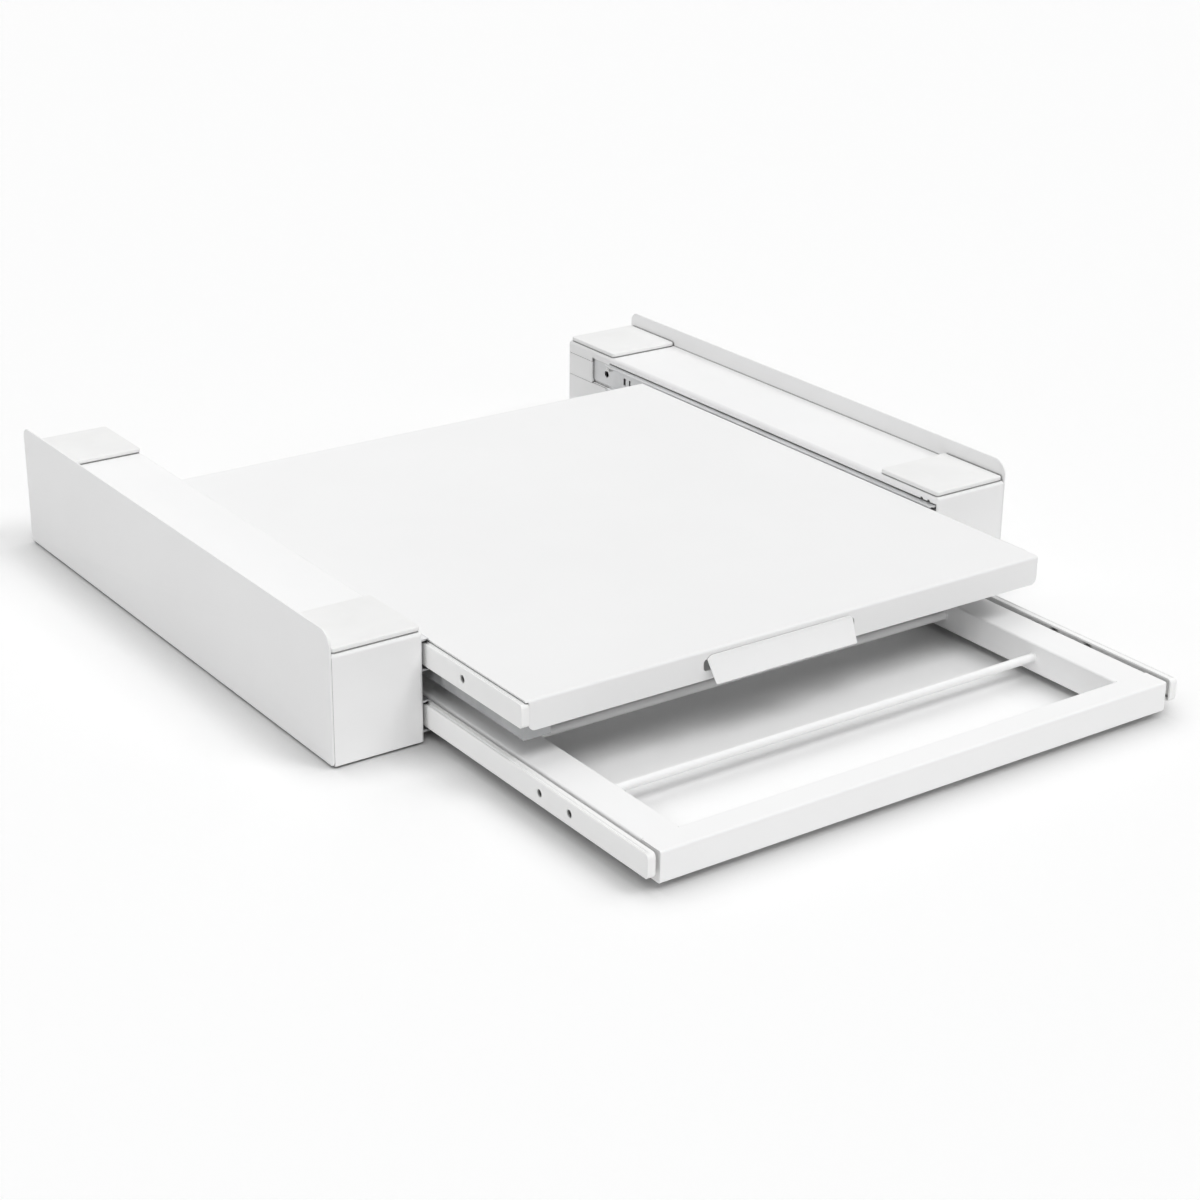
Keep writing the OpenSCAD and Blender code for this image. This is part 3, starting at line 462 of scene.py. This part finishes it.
class Paints:
    """Builds each finish once and dresses objects in it."""

    def __init__(self) -> None:
        """Starts with no material made."""
        self.made: dict[str, bpy.types.Material] = {}

    def dress(self, piece: Piece, finish: Finish) -> None:
        """Puts one finish all over an object.

        Args:
            piece: the object.
            finish: its finish.
        """
        if finish.name not in self.made:
            self.made[finish.name] = finish.build()
        piece.data.materials.clear()
        piece.data.materials.append(self.made[finish.name])

    def dress_nodes(self, names: Iterable[str], finish: Finish) -> None:
        """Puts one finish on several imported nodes.

        Args:
            names: the nodes.
            finish: their finish.
        """
        for name in names:
            self.dress(frame["nodes"][name], finish)
            LOG.info("node %s: %s", name, finish.name)


# Modelling steps


def select_only(*pieces: Piece) -> None:
    """Selects these objects alone, and makes the last one active."""
    for thing in bpy.context.view_layer.objects:
        thing.select_set(False)
    for piece in pieces:
        piece.select_set(True)
        bpy.context.view_layer.objects.active = piece


def settle(piece: Piece) -> None:
    """Puts an object's place, turn and scale into its mesh."""
    select_only(piece)
    bpy.ops.object.transform_apply(location=True, rotation=True, scale=True)


def named(name: str) -> Piece:
    """Names the active object and its mesh, and returns the object."""
    piece = bpy.context.object
    piece.name = name
    piece.data.name = name
    return piece


def start_block(name: str, low: Point, high: Point) -> Piece:
    """Adds a cube that fills the space between two corners.

    Args:
        name: the piece's name.
        low: the lowest corner, in metres.
        high: the highest corner, in metres.

    Returns:
        The piece, with its place in its mesh.
    """
    select_only()
    middle = [(a + b) / 2 for a, b in zip(low, high)]
    bpy.ops.mesh.primitive_cube_add(size=1.0, location=middle)
    piece = named(name)
    piece.scale = [b - a for a, b in zip(low, high)]
    settle(piece)
    return piece


def pick_faces(piece: Piece, wanted: Callable[[bpy.types.MeshPolygon], bool]) -> None:
    """Selects the faces that fit, and nothing else, and opens edit mode.

    Args:
        piece: the piece.
        wanted: tells whether a face is selected.
    """
    select_only(piece)
    mesh = piece.data
    for group in (mesh.vertices, mesh.edges):
        for part in group:
            part.select = False
    for face in mesh.polygons:
        face.select = bool(wanted(face))
    bpy.ops.object.mode_set(mode="EDIT")
    bpy.ops.mesh.select_mode(type="FACE")


def pick_edges(piece: Piece, wanted: Callable[[Vector, Vector], bool]) -> None:
    """Selects the edges that fit, and nothing else, and opens edit mode.

    Args:
        piece: the piece.
        wanted: tells from an edge's two ends whether it is selected.
    """
    select_only(piece)
    bpy.ops.object.mode_set(mode="EDIT")
    bpy.ops.mesh.select_mode(type="EDGE")
    bpy.ops.mesh.select_all(action="DESELECT")
    bpy.ops.object.mode_set(mode="OBJECT")
    mesh = piece.data
    for edge in mesh.edges:
        ends = [mesh.vertices[index].co for index in edge.vertices]
        edge.select = bool(wanted(*ends))
    bpy.ops.object.mode_set(mode="EDIT")


def close_edit() -> None:
    """Leaves edit mode."""
    bpy.ops.object.mode_set(mode="OBJECT")


def bevel_picked(width: float, segments: int) -> None:
    """Bevels the selected edges and leaves edit mode.

    Args:
        width: the bevel's width in metres.
        segments: its steps.
    """
    bpy.ops.mesh.bevel(offset=width, offset_type="OFFSET", segments=segments, profile=0.5, affect="EDGES")
    close_edit()


def soften(piece: Piece, width: float, segments: int, angle: float = 40.0) -> None:
    """Rounds every sharp edge of a piece with an applied bevel, and smooths its shading.

    Args:
        piece: the piece.
        width: the rounding's width in metres.
        segments: its steps.
        angle: edges sharper than this many degrees are rounded.
    """
    select_only(piece)
    rounding = piece.modifiers.new("rounding", "BEVEL")
    rounding.width = width
    rounding.segments = segments
    rounding.limit_method = "ANGLE"
    rounding.angle_limit = math.radians(angle)
    rounding.harden_normals = False
    bpy.ops.object.modifier_apply(modifier="rounding")
    smooth(piece)


def smooth(piece: Piece, angle: float = 35.0) -> None:
    """Smooths the shading over edges blunter than the given angle in degrees."""
    select_only(piece)
    bpy.ops.object.shade_smooth_by_angle(angle=math.radians(angle))


def point_out(piece: Piece) -> None:
    """Merges doubled points and turns every face outwards."""
    select_only(piece)
    bpy.ops.object.mode_set(mode="EDIT")
    bpy.ops.mesh.select_all(action="SELECT")
    bpy.ops.mesh.remove_doubles(threshold=SAME_POINT)
    bpy.ops.mesh.normals_make_consistent(inside=False)
    close_edit()


def copy_to(piece: Piece, name: str, way: Point) -> Piece:
    """Copies a piece with its own mesh and puts it somewhere else.

    Args:
        piece: the piece.
        name: the copy's name.
        way: how far the copy is moved, in metres.

    Returns:
        The copy, with its place in its mesh.
    """
    select_only(piece)
    bpy.ops.object.duplicate(linked=False)
    twin = named(name)
    bpy.ops.transform.translate(value=way)
    settle(twin)
    return twin


def mirror_over(piece: Piece, name: str) -> Piece:
    """Args:
        piece: the piece.
        name: the copy's name.

    Returns:
        The mirrored copy, with its faces turned outwards.
    """
    select_only(piece)
    bpy.ops.object.duplicate(linked=False)
    twin = named(name)
    twin.scale = (-1.0, 1.0, 1.0)
    settle(twin)
    point_out(twin)
    return twin


def join(name: str, pieces: Sequence[Piece]) -> Piece:
    """Joins several pieces into one object.

    Args:
        name: the joined piece's name.
        pieces: what is joined.

    Returns:
        The joined piece.
    """
    select_only(*pieces)
    bpy.ops.object.join()
    return named(name)


def near(value: float, target: float) -> bool:
    """Tells whether two lengths in metres count as the same."""
    return abs(value - target) < SAME_PLACE


def upright(start: Vector, end: Vector) -> bool:
    """Tells whether an edge rises from one end to the other."""
    return abs(start.z - end.z) > UPRIGHT_FROM


def level_at(start: Vector, end: Vector, z: float) -> bool:
    """Tells whether both ends of an edge lie at one height."""
    return near(start.z, z) and near(end.z, z)


def across_at(start: Vector, end: Vector, z: float) -> bool:
    """Tells whether an edge lies at one height and runs along the depth of the sheet."""
    return level_at(start, end, z) and near(start.x, end.x)


def put_on(piece: Piece, body: Body) -> None:
    """Lets a finished piece ride on its body, and logs it.

    Args:
        piece: the finished piece.
        body: what it rides on.
    """
    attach(piece, body.value)
    LOG.info("piece %s on %s: %d faces", piece.name, body.value, len(piece.data.polygons))



@dataclass
class SoftPads:
    """Foam pads on the decks, each on a thinner backing that holds it to the sheet."""

    corner: float = 2.5 * MM
    crown: float = 1.1 * MM
    heel: float = 0.35 * MM
    backing: float = 0.8 * MM
    backing_inset: float = 0.9 * MM
    sink: float = 0.1 * MM
    foam_steps: int = 5
    heel_steps: int = 2
    sole_steps: int = 4
    smooth_to: float = 50.0
    nodes: tuple[str, ...] = ("front_left_pad", "front_right_pad", "rear_left_pad", "rear_right_pad")

    def foam(self, name: str, low: Vector, high: Vector) -> Piece:
        """Models one foam pad.

        Args:
            name: the piece's name.
            low: the pad's lowest corner.
            high: its highest corner.

        Returns:
            The pad.
        """
        seat = low.z + self.backing
        pad = start_block(name, (low.x, low.y, seat), tuple(high))
        pick_edges(pad, upright)
        bevel_picked(self.corner, self.foam_steps)
        pick_edges(pad, lambda a, b: level_at(a, b, high.z))
        bevel_picked(self.crown, self.foam_steps)
        pick_edges(pad, lambda a, b: level_at(a, b, seat))
        bevel_picked(self.heel, self.heel_steps)
        smooth(pad, self.smooth_to)
        return pad

    def sole(self, name: str, low: Vector, high: Vector) -> Piece:
        """Models the backing under one pad.

        Args:
            name: the piece's name.
            low: the pad's lowest corner.
            high: its highest corner.

        Returns:
            The backing.
        """
        inset = self.backing_inset
        sole = start_block(
            name,
            (low.x + inset, low.y + inset, low.z),
            (high.x - inset, high.y - inset, low.z + self.backing + self.sink),
        )
        pick_edges(sole, upright)
        bevel_picked(self.corner - inset, self.sole_steps)
        smooth(sole, self.smooth_to)
        return sole

    def build(self, paints: Paints) -> None:
        """Builds the first pad and copies it to the other three places."""
        low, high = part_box(self.nodes[0])
        foam = self.foam("deck_pad_front_left", low, high)
        sole = self.sole("pad_backing_front_left", low, high)
        places = {"front_left": (foam, sole)}
        for node in self.nodes[1:]:
            place = node.removesuffix("_pad")
            way = tuple(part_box(node)[0] - low)
            places[place] = (
                copy_to(foam, f"deck_pad_{place}", way),
                copy_to(sole, f"pad_backing_{place}", way),
            )
        for place, (pad, backing) in places.items():
            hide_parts(f"{place}_pad")
            paints.dress(pad, PAD_FOAM)
            paints.dress(backing, PAD_BACKING_AND_SHADE)
            put_on(pad, Body.BASE)
            put_on(backing, Body.BASE)


@dataclass
class SidePlates:
    """Outer plates with their foot flanges, cut from sheet with softly coated edges."""

    thickness: float = 1.5 * MM
    flange: float = 20.0 * MM
    flange_inset: float = 6.0 * MM
    front_corner: float = 12.0 * MM
    front_steps: int = 12
    rear_corner: float = 8.0 * MM
    rear_steps: int = 10
    foot_corner: float = 3.0 * MM
    foot_steps: int = 5
    overlap: float = 0.02 * MM
    edge: float = 0.4 * MM
    edge_steps: int = 3

    def plate(self) -> Piece:
        """Models the right-hand plate.

        Returns:
            The plate with its foot flange.
        """
        low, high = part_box("right_side_plate")
        face = high.x - self.thickness
        sheet = start_block("right_plate", (face, low.y, low.z), tuple(high))
        corners = (
            (low.y, high.z, self.front_corner, self.front_steps),
            (high.y, high.z, self.rear_corner, self.rear_steps),
            (low.y, low.z, self.foot_corner, self.foot_steps),
            (high.y, low.z, self.foot_corner, self.foot_steps),
        )
        for y, z, radius, steps in corners:
            pick_edges(
                sheet,
                lambda a, b, y=y, z=z: all(near(end.y, y) and near(end.z, z) for end in (a, b)),
            )
            bevel_picked(radius, steps)
        flange = start_block(
            "right_plate_flange",
            (high.x - self.flange, low.y + self.flange_inset, low.z),
            (face + self.overlap, high.y - self.flange_inset, low.z + self.thickness),
        )
        plate = join("right_plate", (flange, sheet))
        soften(plate, self.edge, self.edge_steps)
        return plate

    def build(self, paints: Paints) -> None:
        """Builds the right-hand plate and its mirror image."""
        right = self.plate()
        left = mirror_over(right, "left_plate")
        smooth(left)
        for piece, side in ((left, Side.LEFT), (right, Side.RIGHT)):
            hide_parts(f"{side.word}_side_plate")
            paints.dress(piece, POWDER_COAT)
            put_on(piece, Body.BASE)


@dataclass
class ShelfPull:
    """Leaning pull, bent from one piece of sheet."""

    thickness: float = 1.2 * MM
    root: float = 2.6 * MM
    taper: float = 2.0 * MM
    corner: float = 0.6 * MM
    corner_steps: int = 5
    shoulder: float = 1.6 * MM
    shoulder_steps: int = 4
    edge: float = 0.38 * MM
    edge_steps: int = 3
    round_from: float = 50.0

    def build(self, paints: Paints) -> None:
        """Bends the pull and rounds its corners and edges."""
        low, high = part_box("shelf_pull")
        knee = high.z - self.root
        front = high.y - self.thickness
        reach = front - low.y
        pull = start_block("pull_tab", (low.x, front, knee), tuple(high))
        pick_faces(pull, lambda face: face.normal.z < -FACING)
        bpy.ops.mesh.extrude_region_move(
            TRANSFORM_OT_translate={"value": (0.0, -reach, low.z - knee)}
        )
        width = high.x - low.x
        bpy.ops.transform.resize(value=((width - 2 * self.taper) / width, 1.0, 1.0))
        close_edit()
        pick_faces(pull, lambda face: face.normal.z > FACING)
        bpy.ops.transform.resize(value=((width - 2 * self.root) / width, 1.0, 1.0))
        close_edit()
        pick_edges(pull, lambda a, b: across_at(a, b, low.z))
        bevel_picked(self.corner, self.corner_steps)
        pick_edges(pull, lambda a, b: across_at(a, b, high.z))
        bevel_picked(self.shoulder, self.shoulder_steps)
        soften(pull, self.edge, self.edge_steps, self.round_from)
        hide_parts("shelf_pull")
        paints.dress(pull, POWDER_COAT)
        put_on(pull, Body.SHELF)


@dataclass
class RackWelds:
    """Coated weld collars round the rods, and weld seams in and over the rack's corners."""

    collar: float = 0.9 * MM
    collar_length: float = 1.1 * MM
    collar_tip: float = 0.12 * MM
    collar_sides: int = 36
    collar_edge: float = 0.3 * MM
    collar_edge_steps: int = 3
    collar_round_from: float = 30.0
    seam: float = 1.6 * MM
    seam_hollow: float = 0.92
    seam_steps: int = 6
    seam_smooth_to: float = 60.0
    sink: float = 0.1 * MM
    bead: float = 1.7 * MM
    bead_overlap: float = 0.3 * MM
    bead_rest: float = 0.01 * MM
    rods: int = 4

    def rod_places(self) -> list[tuple[float, float]]:
        """Middles of the rods.

        Returns:
            Y and Z of each rod's middle.
        """
        low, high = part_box("rack_rods")
        radius = (high.z - low.z) / 2
        first, last = low.y + radius, high.y - radius
        step = (last - first) / (self.rods - 1)
        return [(first + index * step, low.z + radius) for index in range(self.rods)]

    def ring(self, name: str, wall: float, way: int, y: float, z: float, radius: float) -> Piece:
        """Models the collar at one end of a rod.

        Args:
            name: the piece's name.
            wall: X of the tube's wall.
            way: the direction from the wall to the rod's middle, 1 or -1.
            y: Y of the rod.
            z: Z of the rod.
            radius: the rod's radius.

        Returns:
            The collar.
        """
        select_only()
        bpy.ops.mesh.primitive_cone_add(
            vertices=self.collar_sides,
            radius1=radius + self.collar,
            radius2=radius + self.collar_tip,
            depth=self.collar_length,
            location=(wall + way * self.collar_length / 2, y, z),
            rotation=(0.0, way * math.pi / 2, 0.0),
        )
        collar = bpy.context.object
        collar.name = name
        settle(collar)
        soften(collar, self.collar_edge, self.collar_edge_steps, self.collar_round_from)
        return collar

    def corner_seam(self, name: str, x: float, y: float, inward: float, back: float) -> Piece:
        """Models a hollow weld seam in a vertical inner corner.

        Args:
            name: the piece's name.
            x: X of the corner.
            y: Y of the corner.
            inward: direction in X away from the side tube, 1 or -1.
            back: direction in Y away from the end tube, 1 or -1.

        Returns:
            The seam.
        """
        low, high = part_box("rack_front_tube")
        ends = sorted((x - inward * self.sink, x + inward * self.seam))
        depths = sorted((y - back * self.sink, y + back * self.seam))
        seam = start_block(
            name,
            (ends[0], depths[0], low.z + self.bead),
            (ends[1], depths[1], high.z - self.bead),
        )
        tip_x, tip_y = x + inward * self.seam, y + back * self.seam
        pick_edges(seam, lambda a, b: all(near(e.x, tip_x) and near(e.y, tip_y) for e in (a, b)))
        bevel_picked(self.seam * self.seam_hollow, self.seam_steps)
        smooth(seam, self.seam_smooth_to)
        return seam

    def face_seam(self, name: str, tube: tuple[Vector, Vector], y: float, back: float, up: int) -> Piece:
        """Models the weld that fills the joint between a side tube and an end tube, ground flush.

        Args:
            name: the piece's name.
            tube: the box of the side tube.
            y: Y of the joint.
            back: direction in Y away from the end tube, 1 or -1.
            up: 1 for the upper face, -1 for the lower face.

        Returns:
            The weld.
        """
        low, high = tube
        face = high.z if up > 0 else low.z
        depths = sorted((y - back * self.bead, y + back * self.bead_overlap))
        heights = sorted((face - up * self.bead, face - up * self.bead_rest))
        return start_block(
            name,
            (low.x + self.bead, depths[0], heights[0]),
            (high.x - self.bead, depths[1], heights[1]),
        )

    def build(self, paints: Paints) -> None:
        """Builds the collars and the weld seams."""
        left_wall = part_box("rack_left_tube")[1].x
        right_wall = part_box("rack_right_tube")[0].x
        rod_low, rod_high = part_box("rack_rods")
        radius = (rod_high.z - rod_low.z) / 2
        made = []
        for index, (y, z) in enumerate(self.rod_places(), start=1):
            made.append(self.ring(f"rod_{index}_left_collar", left_wall, 1, y, z, radius))
            made.append(self.ring(f"rod_{index}_right_collar", right_wall, -1, y, z, radius))
        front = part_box("rack_front_tube")[1].y
        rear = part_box("rack_rear_tube")[0].y
        for side, x, inward in ((Side.LEFT, left_wall, 1.0), (Side.RIGHT, right_wall, -1.0)):
            made.append(self.corner_seam(f"front_{side.word}_corner_seam", x, front, inward, 1.0))
            made.append(self.corner_seam(f"rear_{side.word}_corner_seam", x, rear, inward, -1.0))
        for piece in made:
            paints.dress(piece, WELD_COAT)
            put_on(piece, Body.RACK)
        for side in Side:
            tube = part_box(f"rack_{side.word}_tube")
            for end, y, back in (("front", front, 1.0), ("rear", rear, -1.0)):
                for face, up in (("top", 1), ("under", -1)):
                    weld = self.face_seam(f"{end}_{side.word}_{face}_weld", tube, y, back, up)
                    paints.dress(weld, LIT_TUBE_COAT)
                    put_on(weld, Body.RACK)


@dataclass
class PackedParts:
    """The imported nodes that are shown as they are, each in its finish."""

    coated: tuple[str, ...] = (
        "left_cover", "right_cover", "left_inner_wall", "right_inner_wall",
        "left_shelf_slide_carrier", "right_shelf_slide_carrier",
        "left_rack_slide_carrier", "right_rack_slide_carrier",
        "front_cross_rail", "rear_cross_rail",
        "front_shelf_stiffener", "rear_shelf_stiffener",
    )
    shelf: tuple[str, ...] = ("shelf_top", "shelf_front_lip")
    tubes: tuple[str, ...] = (
        "rack_front_tube", "rack_rear_tube", "rack_left_tube", "rack_right_tube", "rack_rods",
    )
    rails: tuple[str, ...] = (
        "left_shelf_inner_rail", "right_shelf_inner_rail", "left_rack_inner_rail", "right_rack_inner_rail",
    )
    zinc: tuple[str, ...] = (
        "left_shelf_outer_rail", "right_shelf_outer_rail", "left_rack_outer_rail", "right_rack_outer_rail",
        "outer_rail_screws", "cross_rail_screws", "rack_rail_spacers",
        "left_shelf_ball_cage", "right_shelf_ball_cage", "left_rack_ball_cage", "right_rack_ball_cage",
    )
    sheet: tuple[str, ...] = ("left_shelf_channel", "right_shelf_channel")
    dark: tuple[str, ...] = ("shelf_rail_screws", "rack_rail_screws")
    rubber: tuple[str, ...] = ("left_underside_strips", "right_underside_strips")
    plastic: tuple[str, ...] = ("rack_end_plugs", "closing_bumpers")
    balls: tuple[str, ...] = ("shelf_balls", "rack_balls")

    def dress(self, paints: Paints) -> None:
        """Puts each node's finish on it."""
        for names, finish in (
            (self.coated, POWDER_COAT),
            (self.shelf, SHADED_SHELF_COAT),
            (self.tubes, LIT_TUBE_COAT),
            (self.rails, RAIL_COAT),
            (self.zinc, ZINC_PLATE),
            (self.sheet, GALVANISED_AND_SHADE),
            (self.dark, BLACK_STEEL_AND_CUP_SHADE),
            (self.rubber, DARK_RUBBER),
            (self.plastic, PLUG_PLASTIC),
            (self.balls, BALL_STEEL),
        ):
            paints.dress_nodes(names, finish)


# The studio


@dataclass
class Studio:
    """Pale floor, soft light and the camera."""

    floor_half: float = 16.0
    floor_tone: float = 0.90
    floor_shown: float = 1.0
    # Painted contact shadow on the floor: how far it reaches, its darkest tone, the openness it spans and
    # its rays.
    contact_reach: float = 45.0 * MM
    contact_tone: float = 0.55
    contact_span: tuple[float, float] = (0.35, 0.95)
    contact_rays: int = 16
    lamps: tuple[tuple[str, float, float, tuple[float, float]], ...] = (
        ("front_left_softbox", 0.87, 25.0, (30.0, -25.0)),
        ("front_right_softbox", 0.84, 25.0, (30.0, 25.0)),
        ("front_fill", 0.41, 50.0, (75.0, 0.0)),
        ("overhead_softbox", 0.27, 50.0, (0.0, 0.0)),
        ("overhead_rear_softbox", 0.50, 50.0, (-20.0, 0.0)),
        ("left_reflector", 0.63, 60.0, (0.0, -60.0)),
        ("right_reflector", 0.65, 60.0, (0.0, 60.0)),
        ("rear_reflector", 0.48, 60.0, (-60.0, 0.0)),
    )
    azimuth: float = 35.289
    elevation: float = 22.812
    roll: float = 0.590
    stand: Point = (-1.0125, -1.43205, 0.7471)
    focal_pixels: float = 2454.5
    picture: float = 1200.0
    sensor: float = 36.0
    view_limits: tuple[float, float] = (0.05, 60.0)
    lamp_height: float = 2.5

    def floor(self) -> None:
        """Lays the floor, which looks white wherever no shadow lies on it, with a painted contact shadow
        near the kit in the colour that the camera sees.
        """
        select_only()
        bpy.ops.mesh.primitive_plane_add(size=2 * self.floor_half, location=(0.0, 0.0, 0.0))
        plane = bpy.context.object
        plane.name = "floor"
        graph = Graph("pale_floor")
        path = graph.node("ShaderNodeLightPath")
        plain = graph.node("ShaderNodeBsdfDiffuse")
        plain.inputs["Color"].default_value = (self.floor_tone, self.floor_tone, self.floor_tone, 1.0)
        seen_with_painted_shadow = graph.node("ShaderNodeBsdfDiffuse")
        # Painted contact shadow: the camera-seen floor colour darkens near the kit.
        openness = graph.openness(self.contact_reach, self.contact_rays)
        tone = graph.spread(openness, self.contact_tone, self.floor_shown, *self.contact_span)
        graph.link(tone, seen_with_painted_shadow.inputs["Color"])
        mixed = graph.node("ShaderNodeMixShader")
        graph.link(path.outputs["Is Camera Ray"], mixed.inputs["Fac"])
        graph.link(plain.outputs["BSDF"], mixed.inputs[1])
        graph.link(seen_with_painted_shadow.outputs["BSDF"], mixed.inputs[2])
        graph.link(mixed.outputs["Shader"], graph.output.inputs["Surface"])
        plane.data.materials.append(graph.material)

    def sky(self) -> None:
        world = bpy.data.worlds.new("studio_sky")
        bpy.context.scene.world = world
        world.use_nodes = True
        tree = world.node_tree
        tree.nodes.clear()
        output = tree.nodes.new("ShaderNodeOutputWorld")
        path = tree.nodes.new("ShaderNodeLightPath")
        shown = tree.nodes.new("ShaderNodeMath")
        shown.operation = "MAXIMUM"
        white = tree.nodes.new("ShaderNodeBackground")
        white.inputs["Color"].default_value = (1.0, 1.0, 1.0, 1.0)
        tree.links.new(path.outputs["Is Camera Ray"], shown.inputs[0])
        tree.links.new(path.outputs["Is Glossy Ray"], shown.inputs[1])
        tree.links.new(shown.outputs["Value"], white.inputs["Strength"])
        tree.links.new(white.outputs["Background"], output.inputs["Surface"])

    def light(self) -> None:
        for name, energy, spread, lean in self.lamps:
            select_only()
            lean_x, lean_y = (math.radians(angle) for angle in lean)
            bpy.ops.object.light_add(
                type="SUN", location=(0.0, 0.0, self.lamp_height), rotation=(lean_x, lean_y, 0.0)
            )
            lamp = bpy.context.object
            lamp.name = name
            lamp.data.energy = energy
            lamp.data.angle = math.radians(spread)

    def camera(self) -> None:
        """Sets the camera where the photographer stood."""
        turn, fall, roll = (math.radians(angle) for angle in (self.azimuth, self.elevation, self.roll))
        ahead = Vector((math.sin(turn) * math.cos(fall), math.cos(turn) * math.cos(fall), -math.sin(fall)))
        across = ahead.cross(Vector((0.0, 0.0, 1.0))).normalized()
        above = across.cross(ahead)
        right = across * math.cos(roll) + above * math.sin(roll)
        upward = above * math.cos(roll) - across * math.sin(roll)
        data = bpy.data.cameras.new("studio_camera")
        data.sensor_width = self.sensor
        data.lens = self.focal_pixels / self.picture * data.sensor_width
        data.clip_start, data.clip_end = self.view_limits
        camera = bpy.data.objects.new("studio_camera", data)
        bpy.context.scene.collection.objects.link(camera)
        turned = Matrix((right, upward, -ahead)).transposed().to_4x4()
        camera.matrix_world = Matrix.Translation(self.stand) @ turned
        bpy.context.scene.camera = camera

    def build(self) -> None:
        """Builds the floor, the sky, the light and the camera."""
        self.floor()
        self.sky()
        self.light()
        self.camera()
        bpy.context.scene.view_settings.view_transform = "Standard"


@dataclass
class StackingKit:
    """The whole kit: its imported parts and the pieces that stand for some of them."""

    parts: PackedParts = field(default_factory=PackedParts)
    plates: SidePlates = field(default_factory=SidePlates)
    pads: SoftPads = field(default_factory=SoftPads)
    pull: ShelfPull = field(default_factory=ShelfPull)
    welds: RackWelds = field(default_factory=RackWelds)

    def build(self, paints: Paints) -> None:
        """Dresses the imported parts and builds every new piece."""
        self.parts.dress(paints)
        self.plates.build(paints)
        self.pads.build(paints)
        self.pull.build(paints)
        self.welds.build(paints)


def main() -> None:
    logging.basicConfig(level=logging.INFO, format="%(name)s: %(message)s")
    Studio().build()
    StackingKit().build(Paints())


if __name__ == "__main__":
    main()
